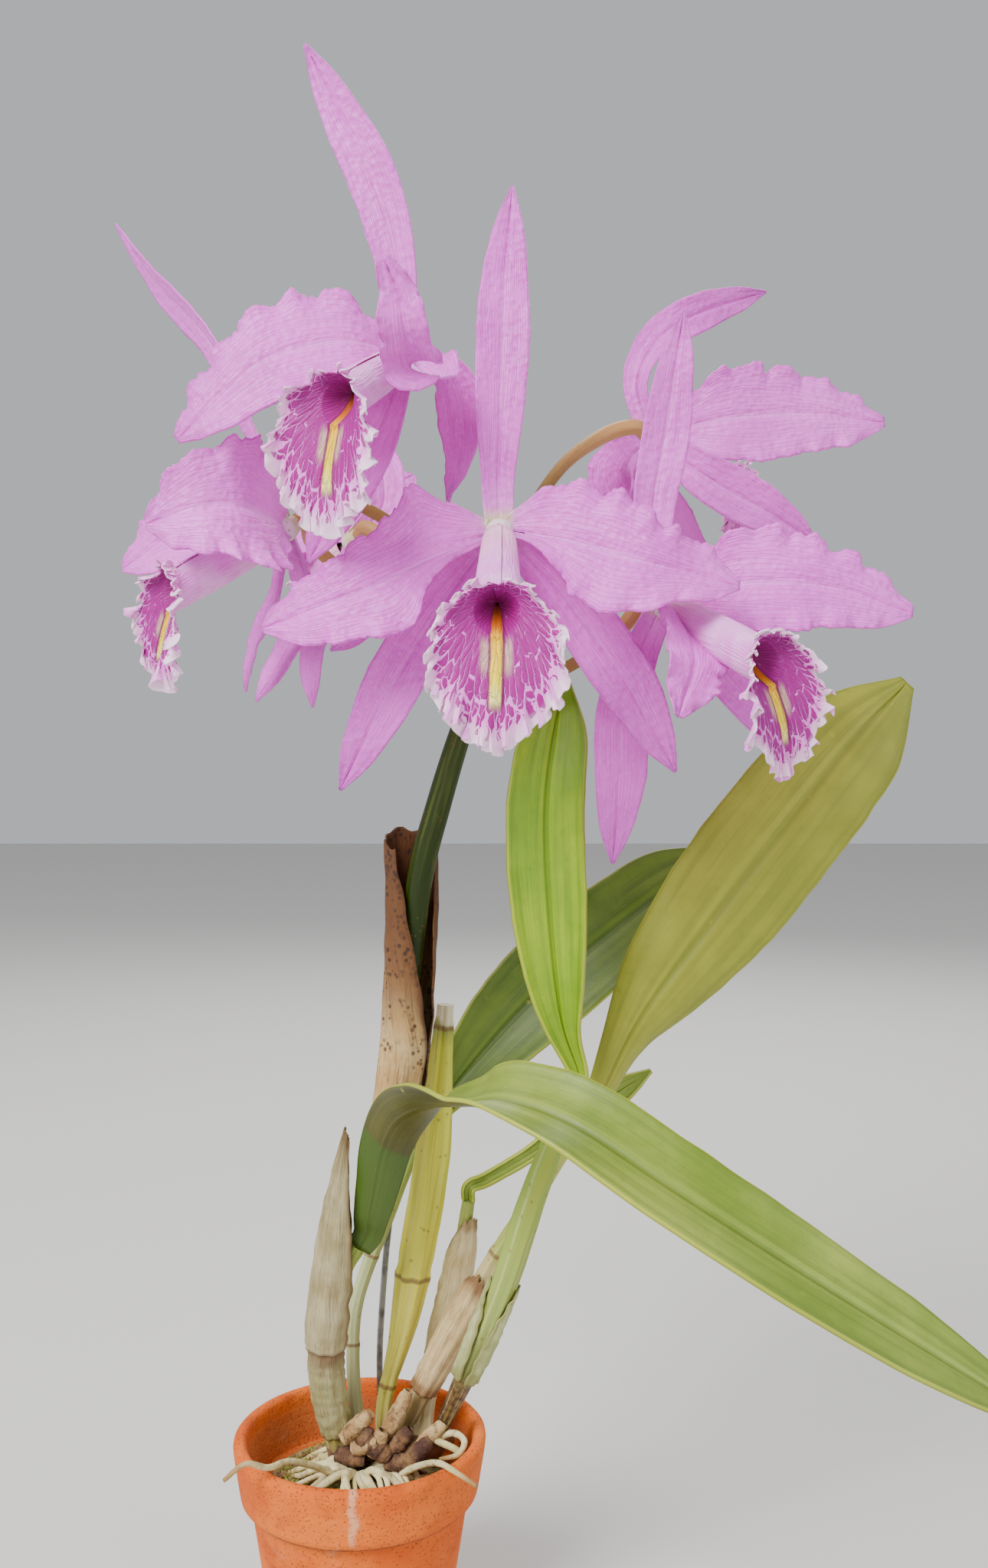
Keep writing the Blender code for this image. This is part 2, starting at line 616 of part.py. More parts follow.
def inner_radius(height):
    """The radius of the pot's inside at a height above its floor."""
    low, high = FLOOR_THICKNESS + 1 * MM, POT_HEIGHT - LEDGE_DROP - 1.5 * MM
    share = (height - low) / (high - low)
    return BASE_RADIUS - WALL + share * (NECK_RADIUS - BASE_RADIUS)


def mix_height(radius):
    """The height of the moss at a distance from the pot's axis."""
    edge = NECK_RADIUS - WALL
    return MIX_TOP + MIX_DOME * max(0.0, 1 - (radius / edge) ** 2)


def make_mix():
    """The moss and bark that fill the pot to its ledge, with a well for the crown of the roots."""
    low = FLOOR_THICKNESS + 1.6 * MM
    high = POT_HEIGHT - LEDGE_DROP - 1.5 * MM
    rings = [(0, low), (inner_radius(low) - FIT_GAP, low), (inner_radius(high) - FIT_GAP, high - 1 * MM)]
    rings += [(radius * MM, mix_height(radius * MM)) for radius in (27, 20, 10, 0)]
    mix = turned("potting_mix", rings, 28, MIX)
    x, y = CROWN_PLACE
    cut(mix, round_cutter(CROWN_RADIUS + FIT_GAP, 4 * CROWN_DEPTH, x, y, MIX_TOP + CROWN_DEPTH))
    cut(mix, rod(WIRE_LINE, [WIRE_RADIUS / MM + 0.35], WIRE))


def rod(path, radii, finish, sides=8, flat=1.0, steps=None):
    """A round rod through picture places, its radii in mm."""
    line = [seen(*point) for point in path]
    spread = [radius * MM for radius in radii] * (2 if len(radii) == 1 else 1)
    return object_from(swept(line, spread, sides, flat, steps), "rod", finish)


def make_canes(grow=0.0):
    """The rhizome and the canes that grow from it, as one body."""
    pieces = [rod(RHIZOME, [radius + grow for radius in RHIZOME_RADII], CANE)]
    for line, radii in CANES.values():
        pieces.append(rod(line, [radius + grow for radius in radii], CANE, 6))
    return union("canes", pieces, CANE)


def make_roots():
    """The crown under the rhizome and the roots that spread from it over the mix, as one body."""
    x, y = CROWN_PLACE
    top = mix_height(0) + 2 * ROOT_RADIUS
    base = MIX_TOP - CROWN_DEPTH + 0.4 * MM
    pieces = [round_cutter(CROWN_RADIUS - 0.05 * MM, top - base, x, y, (top + base) / 2)]
    rng = random.Random(ROOT_SEED)
    for i in range(ROOT_COUNT):
        turn = 2 * math.pi * (i + rng.uniform(-0.3, 0.3)) / ROOT_COUNT
        reach = rng.uniform(0.80, 0.98) * (NECK_RADIUS - WALL - ROOT_RADIUS)
        sway = rng.uniform(-0.35, 0.35)
        path = []
        for share in (0.25, 0.5, 0.75, 1.0):
            radius = 8 * MM + share * (reach - 8 * MM)
            angle = turn + sway * (share - 0.25)
            height = mix_height(radius) + ROOT_RADIUS + 0.45 * MM
            path.append(Vector((radius * math.cos(angle), radius * math.sin(angle), height)))
        size = ROOT_RADIUS * rng.uniform(0.8, 1.0)
        body = swept(path, [size, size, size * 0.7], 5, 1.0, 3, Vector((0, 0, 1)))
        pieces.append(object_from(body, "root", ROOT))
    for line in RIM_ROOTS.values():
        pieces.append(rod(line, (1.1, 1.0, 0.7), ROOT, 5, 1.0, 8))
    roots = union("roots", pieces, ROOT)
    cut(roots, make_canes(0.35))
    keep_largest(roots)


def seat_of(name):
    """A seat just clear of the top of the cane that carries a piece, and the way the cane points there."""
    cane, aside, side = SEATS[name]
    points = [seen(*point) for point in CANES[cane][0]]
    line = smooth_line(points, 2 * (len(points) - 1))
    way = (line[-1] - line[-2]).normalized()
    side = Vector(side)
    off = (side - way * side.dot(way)).normalized()
    return line[-1] + way * FIT_GAP + off * aside * MM, way


def make_leaves():
    for name, blade in LEAVES.items():
        base, way = seat_of(name)
        along = 18 if name == "leaf_front" else 12
        make_blade(name, blade, LEAF_THICKNESS, 4, along, GREEN, base, way)


def rolled_sheath(name, line, shape, across=8, along=6):
    """A dry sheath rolled round a smoothed line, open along the side that it faces."""
    faces = [Vector(face) for face in shape.faces]

    def place(v, t):
        i = round(t * along)
        tangent = tangent_at(line, i)
        face = between(faces, t)
        out = (face - tangent * face.dot(tangent)).normalized()
        side = tangent.cross(out)
        turn = math.radians(between(shape.reach, t)) * v
        radius = between(shape.radii, t) * MM
        rise = shape.taper * MM * (0.5 - abs(v)) * t
        return line[i] + side * math.sin(turn) * radius - out * math.cos(turn) * radius + tangent * rise

    sheet = grid_sheet(across, along, place)
    return object_from(thickened(sheet, SHEATH_THICKNESS), name, PAPER)


def make_sheaths():
    points = [seen(*point) for point in FLOWER_SHEATH.line]
    rolled_sheath("flower_sheath", smooth_line(points, 10), FLOWER_SHEATH, 8, 10)
    for name, shape in CANE_SHEATHS.items():
        cane = smooth_line([seen(*point) for point in CANES[shape.cane][0]], 60)
        first, last = round(60 * shape.span[0]), round(60 * shape.span[1])
        points = cane[first:last + 1:4] + [seen(*point) for point in shape.beyond]
        along = 8 if shape.beyond else 5
        rolled_sheath(name, smooth_line(points, along), shape, 8, along)


def make_lip(name, bloom):
    """The lip: a tube that leaves the hub, split along its top, and a flared face round its throat."""
    lip = bloom.lip
    hub, front, throat = bloom_axis(bloom)
    start = hub + front * (HUB_LENGTH / 2 + FIT_GAP)
    face = Vector(lip.face).normalized()
    down = seen(*lip.tip) - throat
    down -= face * down.dot(face)
    height = (down.length + lip.top_reach * MM) / 2
    shift = (down.length - lip.top_reach * MM) / 2
    down.normalize()
    side = down.cross(face)
    tube_share = 3 / 7
    slit = math.radians(6)

    def place(v, t):
        turn = v * (math.pi - slit)
        wide, low = math.sin(turn), math.cos(turn)
        if t < tube_share + 0.01:
            s = t / tube_share
            axis = front.lerp(face, s).normalized()
            sink = (down - axis * down.dot(axis)).normalized()
            radius = 4.3 * MM + (lip.throat_radius - 4.3) * MM * s ** 1.5
            return start.lerp(throat, s) + sink * low * radius + sink.cross(axis) * wide * radius
        s = (t - tube_share) / (1 - tube_share)
        across = lip.throat_radius + (lip.side_reach - lip.throat_radius) * s
        upright = lip.throat_radius * MM + (height - lip.throat_radius * MM) * s
        rise = (4 * s + lip.cup * wide * wide * s - lip.bend_back * s * s * (0.5 + 0.5 * low)) * MM
        frill = 0.9 * MM * s * s * math.sin(7 * turn + 2 * s)
        return throat + down * (shift * s + low * upright) + side * wide * across * MM + face * (rise + frill)

    sheet = grid_sheet(12, 7, place)
    return object_from(thickened(sheet, PETAL_THICKNESS), name, MAGENTA)


def bloom_axis(bloom):
    """The hub, the way from it to the lip's throat, and the throat."""
    hub, throat = seen(*bloom.hub), seen(*bloom.lip.throat)
    return hub, (throat - hub).normalized(), throat


def make_pedicel(bloom, grow=0.0):
    """The stalk of one bloom, which ends just behind its hub."""
    hub, front, _ = bloom_axis(bloom)
    line = [seen(*point) for point in bloom.pedicel[:-1]]
    end = hub - front * (HUB_LENGTH / 2 + FIT_GAP - grow)
    line += [end - front * 5 * MM, end]
    radii = [PEDICEL_RADIUS + grow, PEDICEL_RADIUS + grow, PEDICEL_RADIUS * 1.15 + grow]
    return object_from(swept(line, radii, 6, 1.0, round(1.5 * len(line))), "pedicel", STEM)


def make_bloom(name, bloom):
    """The hub with its column, and the three sepals and two petals that grow from it."""
    hub, front, throat = bloom_axis(bloom)
    back, nose = hub - front * HUB_LENGTH / 2, hub + front * HUB_LENGTH / 2
    body = swept([back, hub, nose], [2.6 * MM, HUB_RADIUS, 3.0 * MM], 7, 1.0, 3)
    pieces = [object_from(body, "hub", LAVENDER)]
    for blade_name, blade in bloom.blades.items():
        across, along = (6, bloom.petal_steps) if "petal" in blade_name else (4, 6)
        base = hub - front * BLADE_SETBACK
        pieces.append(make_blade(blade_name, blade, PETAL_THICKNESS, across, along, LAVENDER, base))
    tepals = union("tepals", pieces, LAVENDER)
    wide = [(4.3 + 0.8) * MM, (bloom.lip.throat_radius + 1.0) * MM]
    tube = swept([nose + front * 0.02 * MM, throat], wide, 8, 1.0, 2)
    cut(tepals, object_from(tube, "tube_cutter", LAVENDER))
    cut(tepals, make_pedicel(bloom, FIT_GAP))
    end = nose + front * min(COLUMN_LENGTH, 0.8 * (throat - nose).length)
    column = swept([nose - front * MM, end], [COLUMN_RADIUS * 0.8, COLUMN_RADIUS], 6, 1.0, 2)
    union("bloom_" + name, [keep_largest(tepals), object_from(column, "column", LAVENDER)], LAVENDER)


def make_stem():
    """The flower stem with a pedicel to each bloom, as one body."""
    base, way = seat_of("flower_stem")
    line = [base, base + way * 4 * MM] + [seen(*point) for point in STEM_LINE]
    stem = swept(line, [radius * MM for radius in STEM_RADII], 8, 1.0, 18, way=way)
    pieces = [object_from(stem, "stem", STEM)]
    pieces += [make_pedicel(bloom) for bloom in BLOOMS.values()]
    return union("flower_stem", pieces, STEM)


def main():
    for old in list(bpy.data.objects):
        bpy.data.objects.remove(old)
    make_pot()
    make_mix()
    make_canes()
    make_roots()
    rod(WIRE_LINE, [WIRE_RADIUS / MM], WIRE, 8, 1.0, 8).name = "support_wire"
    make_leaves()
    make_sheaths()
    make_stem()
    for name, bloom in BLOOMS.items():
        make_bloom(name, bloom)
        make_lip("lip_" + name, bloom)


main()
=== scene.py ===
"""The looks of a cattleya orchid in flower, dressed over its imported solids.

Six blooms, their frilled lips, five strap leaves, canes, dry sheaths, roots, moss and the
clay pot are each modelled and painted here, at the places that the picture's eye gives them.
"""

import logging
import math
import random
from collections.abc import Callable, Sequence
from dataclasses import dataclass, field
from enum import Enum

import bmesh
import bpy
from mathutils import Matrix, Vector, noise


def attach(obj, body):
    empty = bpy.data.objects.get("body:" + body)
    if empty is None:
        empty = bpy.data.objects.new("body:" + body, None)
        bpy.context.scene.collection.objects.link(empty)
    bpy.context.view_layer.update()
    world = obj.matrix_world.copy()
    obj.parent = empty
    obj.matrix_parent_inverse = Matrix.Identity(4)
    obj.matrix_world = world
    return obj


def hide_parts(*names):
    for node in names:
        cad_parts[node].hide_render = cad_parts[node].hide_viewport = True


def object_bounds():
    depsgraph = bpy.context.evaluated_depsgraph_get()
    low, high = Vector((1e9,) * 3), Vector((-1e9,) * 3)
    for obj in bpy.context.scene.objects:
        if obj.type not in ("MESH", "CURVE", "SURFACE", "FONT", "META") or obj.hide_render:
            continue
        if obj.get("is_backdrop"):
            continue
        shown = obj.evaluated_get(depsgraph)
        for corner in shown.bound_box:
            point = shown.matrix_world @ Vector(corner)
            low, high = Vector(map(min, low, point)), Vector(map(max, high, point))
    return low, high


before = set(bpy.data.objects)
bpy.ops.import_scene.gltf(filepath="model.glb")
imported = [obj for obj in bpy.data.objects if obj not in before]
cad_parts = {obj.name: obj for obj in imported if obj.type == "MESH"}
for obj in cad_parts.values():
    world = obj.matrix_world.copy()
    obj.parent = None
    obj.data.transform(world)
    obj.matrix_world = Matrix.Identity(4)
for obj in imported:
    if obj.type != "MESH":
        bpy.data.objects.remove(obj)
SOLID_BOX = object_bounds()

LOG = logging.getLogger("orchid")
MM = 0.001
SEAT_GAP = 0.35
Spot = tuple[float, float, float]
Colour = tuple[float, float, float]
Place = Callable[[float, float], Vector]
Rule = Callable[[float, float], float]
Curved = float | Vector
FINE_STEPS = 24


def shade(red: int, green: int, blue: int) -> Colour:
    """A colour as seen on a screen, from 0 to 255, made linear."""
    shares = (red / 255, green / 255, blue / 255)
    return tuple(c / 12.92 if c < 0.0405 else ((c + 0.055) / 1.055) ** 2.4 for c in shares)


@dataclass(frozen=True)
class Eye:
    """The eye that took the picture: where it stands and how it frames what it sees."""

    place: Vector = Vector((0.0426, -0.439, 0.279))
    middle: tuple[int, int] = (645, 1024)
    focal: float = 1795
    height: int = 2048

    def seen(self, across: float, down: float, ahead: float) -> Vector:
        """The point `ahead` mm in front of the pot's axis at a place in the picture.

        Args:
            across: pixels from the picture's left edge.
            down: pixels from its top edge.
            ahead: millimetres from the pot's axis towards the eye.

        Returns:
            The point in metres.
        """
        depth = -self.place.y - ahead * MM
        x = self.place.x + (across - self.middle[0]) * depth / self.focal
        return Vector((x, -ahead * MM, self.place.z - (down - self.middle[1]) * depth / self.focal))


EYE = Eye()


def spots(*points: Spot) -> list[Vector]:
    """The picture places as points in metres."""
    return [EYE.seen(*point) for point in points]


def through(a: Curved, b: Curved, c: Curved, d: Curved, x: float) -> Curved:
    """The value at x from 0 to 1 between b and c, on the smooth curve through all four."""
    bend = (2 * a - 5 * b + 4 * c - d) * x * x
    return 0.5 * (2 * b + (c - a) * x + bend + (3 * b - a - 3 * c + d) * x ** 3)


def smooth_line(points: Sequence[Vector], count: int) -> list[Vector]:
    """`count` + 1 evenly spread points on a smooth curve through the given ones.

    Args:
        points: what the curve passes through.
        count: how many steps it is cut into.

    Returns:
        The points along the curve.
    """
    ends = [2 * points[0] - points[1], *points, 2 * points[-1] - points[-2]]
    fine = []
    for four in zip(ends, ends[1:], ends[2:], ends[3:]):
        fine.extend(through(*four, k / FINE_STEPS) for k in range(FINE_STEPS))
    fine.append(points[-1].copy())
    lengths = [0.0]
    for a, b in zip(fine, fine[1:]):
        lengths.append(lengths[-1] + (b - a).length)
    line, k = [], 0
    for i in range(count + 1):
        target = lengths[-1] * i / count
        while k < len(fine) - 2 and lengths[k + 1] < target:
            k += 1
        share = (target - lengths[k]) / max(lengths[k + 1] - lengths[k], 1e-9)
        line.append(fine[k].lerp(fine[k + 1], min(1.0, share)))
    return line


def tangent_at(line: Sequence[Vector], i: int) -> Vector:
    """The way a line runs at its point i."""
    return (line[min(i + 1, len(line) - 1)] - line[max(i - 1, 0)]).normalized()


def between(values: Sequence[Curved], t: float) -> Curved:
    """A value from an evenly spaced list, straight between its entries.

    Args:
        values: the entries.
        t: how far along the list, 0 to 1.

    Returns:
        The value there.
    """
    place = t * (len(values) - 1)
    k = min(int(place), len(values) - 2)
    return values[k] + (values[k + 1] - values[k]) * (place - k)


def eased(values: Sequence[float], t: float) -> float:
    """A value from an evenly spaced list, on a smooth curve through its entries.

    Args:
        values: the entries.
        t: how far along the list, 0 to 1.

    Returns:
        The value there.
    """
    place = t * (len(values) - 1)
    k = min(int(place), len(values) - 2)
    x = place - k
    b, c = values[k], values[k + 1]
    a = values[k - 1] if k else 2 * b - c
    d = values[k + 2] if k + 2 < len(values) else 2 * c - b
    return through(a, b, c, d, x)


def wander(*where: float) -> float:
    """Smooth noise from -1 to 1 at up to three numbers."""
    return noise.noise(Vector((*where, 0, 0, 0)[:3]))


class Signal:
    """A value that varies over a surface, held as a socket, with Python's own operators."""

    def __init__(self, tree: bpy.types.NodeTree, socket: bpy.types.NodeSocket) -> None:
        """Keeps the tree and the socket the value comes from."""
        self.tree = tree
        self.socket = socket

    def fed(self, node: bpy.types.Node, terms: Sequence["Signal | float"]) -> "Signal":
        """Feeds a node's first sockets in order and takes its first output.

        Args:
            node: the node.
            terms: a signal or a number for each socket.

        Returns:
            The output.
        """
        for slot, term in zip(node.inputs, terms):
            if isinstance(term, Signal):
                self.tree.links.new(term.socket, slot)
            else:
                slot.default_value = term
        return Signal(self.tree, node.outputs[0])

    def math(self, operation: str, *others: "Signal | float", first: float | None = None) -> "Signal":
        """Adds a Math node.

        Args:
            operation: the node's operation.
            others: what comes after this value.
            first: a number that comes before it instead.

        Returns:
            The node's result.
        """
        node = self.tree.nodes.new("ShaderNodeMath")
        node.operation = operation
        return self.fed(node, [self, *others] if first is None else [first, self])

    def __add__(self, other: "Signal | float") -> "Signal":
        """This plus another."""
        return self.math("ADD", other)

    __radd__ = __add__

    def __sub__(self, other: "Signal | float") -> "Signal":
        """This less another."""
        return self.math("SUBTRACT", other)

    def __rsub__(self, other: float) -> "Signal":
        """A number less this."""
        return self.math("SUBTRACT", first=other)

    def __mul__(self, other: "Signal | float") -> "Signal":
        """This times another."""
        return self.math("MULTIPLY", other)

    __rmul__ = __mul__

    def __pow__(self, other: float) -> "Signal":
        """This raised to a power."""
        return self.math("POWER", other)

    def __abs__(self) -> "Signal":
        """This without its sign."""
        return self.math("ABSOLUTE")

    def over(self, other: "Signal | float") -> "Signal":
        """The larger of this and another."""
        return self.math("MAXIMUM", other)

    def step(self, low: "Signal | float", high: "Signal | float") -> "Signal":
        """Rises smoothly from 0 to 1 as this goes from low to high.

        Args:
            low: where the rise starts.
            high: where it ends; it may lie under low for a fall.

        Returns:
            The eased value.
        """
        node = self.tree.nodes.new("ShaderNodeMapRange")
        node.interpolation_type = "SMOOTHSTEP"
        return self.fed(node, (self, low, high))


Term = Signal | float | tuple


class Paint:
    """One material in the making: its nodes, and the shader they feed."""

    def __init__(self, name: str) -> None:
        """Starts a material with a shader and nothing on it.

        Args:
            name: the material's name.
        """
        self.material = bpy.data.materials.new(name)
        self.material.use_nodes = True
        self.tree = self.material.node_tree
        self.shader = self.tree.nodes["Principled BSDF"]
        self.colour: Term = (0.5, 0.5, 0.5)

    def node(self, kind: str, settings: dict | None = None, inputs: dict | None = None) -> bpy.types.Node:
        """Adds a node of any kind.

        Args:
            kind: the node's type name, without its ShaderNode start.
            settings: its own properties, set first.
            inputs: values or signals for its sockets, by name or number.

        Returns:
            The node.
        """
        node = self.tree.nodes.new("ShaderNode" + kind)
        for name, value in (settings or {}).items():
            setattr(node, name, value)
        for name, term in (inputs or {}).items():
            self.feed(node.inputs[name], term)
        return node

    def feed(self, slot: bpy.types.NodeSocket, term: Term) -> None:
        """Links a signal to a socket, or sets the socket's own value.

        Args:
            slot: the socket.
            term: what it gets.
        """
        if isinstance(term, Signal):
            self.tree.links.new(term.socket, slot)
        elif isinstance(term, tuple) and len(term) == 3 and slot.type == "RGBA":
            slot.default_value = (*term, 1)
        else:
            slot.default_value = term

    def signal(self, node: bpy.types.Node, output: str | int = 0) -> Signal:
        """One output of a node."""
        return Signal(self.tree, node.outputs[output])

    def split(self, where: Signal) -> list[Signal]:
        """The three numbers of a vector."""
        node = self.node("SeparateXYZ", None, {0: where})
        return [self.signal(node, k) for k in range(3)]

    def mesh_uv(self) -> list[Signal]:
        """The two directions of the piece's own UV map."""
        return self.split(self.signal(self.node("UVMap", {"uv_map": "Laid"})))[:2]

    def measure(self, name: str) -> Signal:
        """A number that the mesh holds at each point."""
        return self.signal(self.node("Attribute", {"attribute_name": name}), "Fac")

    def place(self) -> Signal:
        """The point's own place in metres."""
        return self.signal(self.node("TexCoord"), "Object")

    def point(self, x: Term, y: Term, z: Term = 0.0) -> Signal:
        """A vector from three numbers or signals."""
        return self.signal(self.node("CombineXYZ", None, {0: x, 1: y, 2: z}))

    def cloud(self, where: Signal, scale: float, detail: float = 3, rough: float = 0.55) -> Signal:
        """Soft noise, about 0 to 1.

        Args:
            where: the vector it is read at.
            scale: how many lumps lie in one unit.
            detail: how many finer layers it has.
            rough: how strong those are.

        Returns:
            The noise.
        """
        inputs = {"Vector": where, "Scale": scale, "Detail": detail, "Roughness": rough}
        return self.signal(self.node("TexNoise", None, inputs))

    def cells(self, where: Signal, scale: float) -> Signal:
        """The distance to the nearest cell's middle."""
        return self.signal(self.node("TexVoronoi", None, {"Vector": where, "Scale": scale}), "Distance")

    def net(self, x: Term, y: Term) -> Signal:
        """The distance to the nearest thread of a flat net with cells about one unit wide.

        Args:
            x: the place across the net.
            y: the place along it.

        Returns:
            The distance, 0 on a thread.
        """
        settings = {"feature": "DISTANCE_TO_EDGE", "voronoi_dimensions": "2D"}
        inputs = {"Vector": self.point(x, y), "Scale": 1}
        return self.signal(self.node("TexVoronoi", settings, inputs), "Distance")

    def mix(self, share: Term, under: Term, upper: Term) -> Signal:
        """One colour laid over another.

        Args:
            share: how much of the upper one shows, 0 to 1.
            under: the colour below.
            upper: the colour above.

        Returns:
            The mixed colour.
        """
        inputs = {0: share, 6: under, 7: upper}
        return self.signal(self.node("Mix", {"data_type": "RGBA", "clamp_factor": True}, inputs), 2)

    def lay(self, share: Term, upper: Term) -> None:
        """Lays one more colour over what the finish has so far."""
        self.colour = self.mix(share, self.colour, upper)

    def ramp(self, value: Signal, stops: Sequence[tuple[float, Colour]]) -> Signal:
        """Colours spread along a value.

        Args:
            value: what is looked up, 0 to 1.
            stops: places and their colours, in order.

        Returns:
            The colour.
        """
        node = self.node("ValToRGB", None, {0: value})
        stretch = node.color_ramp.elements
        while len(stretch) < len(stops):
            stretch.new(0.5)
        for element, (where, colour) in zip(stretch, stops):
            element.position = where
            element.color = (*colour, 1)
        return self.signal(node)

    def done(self, rough: Term, height: Signal | None = None, depth: float = 0.0,
             **even: float) -> bpy.types.Material:
        """Feeds the shader.

        Args:
            rough: the roughness.
            height: the relief, if it has one.
            depth: how high that is, in metres.
            even: other sockets that are the same all over, with _ for a space.

        Returns:
            The material.
        """
        self.feed(self.shader.inputs["Base Color"], self.colour)
        self.feed(self.shader.inputs["Roughness"], rough)
        if height:
            bump = self.node("Bump", None, {"Height": height, "Distance": depth, "Strength": 1.0})
            self.feed(self.shader.inputs["Normal"], self.signal(bump))
        for name, value in even.items():
            self.shader.inputs[name.replace("_", " ")].default_value = value
        return self.material


class Side(Enum):
    """Which face of a lip a finish is for."""

    INNER = "inner"
    OUTER = "outer"


@dataclass(frozen=True)
class TepalFinish:
    """Lavender petals and sepals: a pale midrib, fine veins that fan out, and a green-cream base."""

    name: str = "lavender_tepal"
    deep: Colour = shade(210, 62, 200)
    body: Colour = shade(240, 94, 228)
    pale: Colour = shade(254, 148, 246)
    base: Colour = shade(232, 230, 168)

    def make(self) -> bpy.types.Material:
        """Builds the material.

        Returns:
            The material.
        """
        paint = Paint(self.name)
        u, v = paint.mesh_uv()
        tone = paint.measure("tone")
        aside = abs(u - 0.5) * 2
        spot = paint.place()
        clouds = paint.cloud(spot, 38, 4)
        paint.colour = paint.mix(clouds.step(0.34, 0.68), self.deep, self.body)
        paint.lay(tone * 0.6, self.pale)
        warp = (paint.cloud(paint.point(u * 3, v * 3, tone * 9), 1, 2) - 0.5) * 0.07
        veins = paint.net((u + warp) * 24, v * 3.0)
        vein = veins.step(0.14, 0.02)
        paint.lay(vein * 0.16, self.deep)
        fleck = paint.cloud(spot, 1100, 3).step(0.5, 0.7)
        paint.lay(fleck * 0.25, self.pale)
        rib = aside.step(0.13, 0.0) * v.step(1.0, 0.2)
        paint.lay(rib * 0.45, self.pale)
        rim = aside.step(0.84, 1.0)
        paint.lay(rim * 0.3, self.deep)
        foot = v.step(0.17, 0.02)
        paint.lay(foot * 0.7, self.pale)
        paint.lay(v.step(0.07, 0.02) * 0.8, self.base)
        crumple = paint.cells(spot, 420).step(0.0, 0.8)
        height = vein * -0.25 + rib * -0.7 + paint.cloud(spot, 260, 3) * 0.6 + crumple * 0.8
        return paint.done(0.4 + clouds * 0.18, height, 0.0004, Sheen_Weight=0.06,
                          Subsurface_Weight=0.15, Subsurface_Scale=0.002, Specular_IOR_Level=0.42)


@dataclass(frozen=True)
class LipFinish:
    """The lip: vivid branching veins on a pale ground, a crisp pale margin and a yellow stripe."""

    name: str
    side: Side
    vein: Colour = shade(162, 0, 134)
    deep: Colour = shade(138, 0, 96)
    ground: Colour = shade(240, 124, 228)
    margin: Colour = shade(250, 206, 240)
    flush: Colour = shade(240, 132, 226)
    cream: Colour = shade(254, 236, 170)
    stripe: tuple[tuple[float, Colour], ...] = (
        (0.26, shade(130, 40, 20)), (0.42, shade(214, 110, 10)), (0.52, shade(255, 196, 10)),
        (0.70, shade(255, 226, 50)), (0.80, shade(255, 244, 150)))

    def make(self) -> bpy.types.Material:
        """Builds the material for one side.

        Returns:
            The material.
        """
        paint = Paint(self.name)
        sweep = paint.measure("sweep")
        turn = paint.measure("turn")
        aside = paint.measure("aside")
        spot = paint.place()
        warp = (paint.cloud(spot, 170, 3) - 0.5) * 1.6
        large = paint.net(turn * 6.6 + warp, sweep * 3.0 + warp * 0.5)
        small = paint.net(turn * 11 + warp * 1.6, sweep * 5.5)
        thin = sweep.over(0) ** 4 * 0.34 + sweep.step(-0.1, 0.3) * 0.02
        vein = large.step(thin - 0.015, thin + 0.045) * small.step(thin * 0.6 - 0.04, thin * 0.6 + 0.02)
        fade = (sweep + warp * 0.08).step(0.99, 0.8)
        if self.side is Side.OUTER:
            mottle = paint.cloud(spot, 120, 3).step(0.35, 0.7)
            back = paint.mix(mottle, shade(250, 172, 240), shade(244, 134, 230))
            back = paint.mix(sweep.step(-0.4, -1.0) * 0.35, back, self.cream)
            paint.colour = paint.mix(vein * fade * sweep.step(-0.2, 0.6) * 0.4, back, self.vein)
            return paint.done(0.45, large, 0.0004, Subsurface_Weight=0.1, Subsurface_Scale=0.002)
        ground = paint.mix(sweep.step(0.2, 0.75), self.ground, self.flush)
        ground = paint.mix(sweep.step(0.74, 0.95), ground, self.margin)
        paint.colour = paint.mix(vein * fade, ground, paint.mix(sweep.step(0.05, -0.4), self.vein, self.deep))
        reach = abs(aside + (paint.cloud(spot, 180, 2) - 0.5) * 0.7)
        patch = reach.step(4.6, 3.0) * sweep.step(0.0, 0.12) * sweep.step(0.42, 0.26)
        paint.lay(patch * (1 - vein * 0.5) * 0.8, self.cream)
        run = sweep.step(0.68, 0.56)
        lines = reach.step(2.3, 1.8) * run
        paint.lay(lines * 0.85, self.deep)
        paint.lay(reach.step(1.6, 1.1) * run, paint.ramp(sweep * 0.5 + 0.5, self.stripe))
        edge = sweep.step(0.93, 0.99)
        paint.lay(edge * 0.5, shade(255, 232, 250))
        height = vein * 0.5 + large * 0.6 + reach.step(2.4, 0.4) * run * 2
        return paint.done(0.44 + vein * 0.08, height, 0.0006, Specular_IOR_Level=0.35)


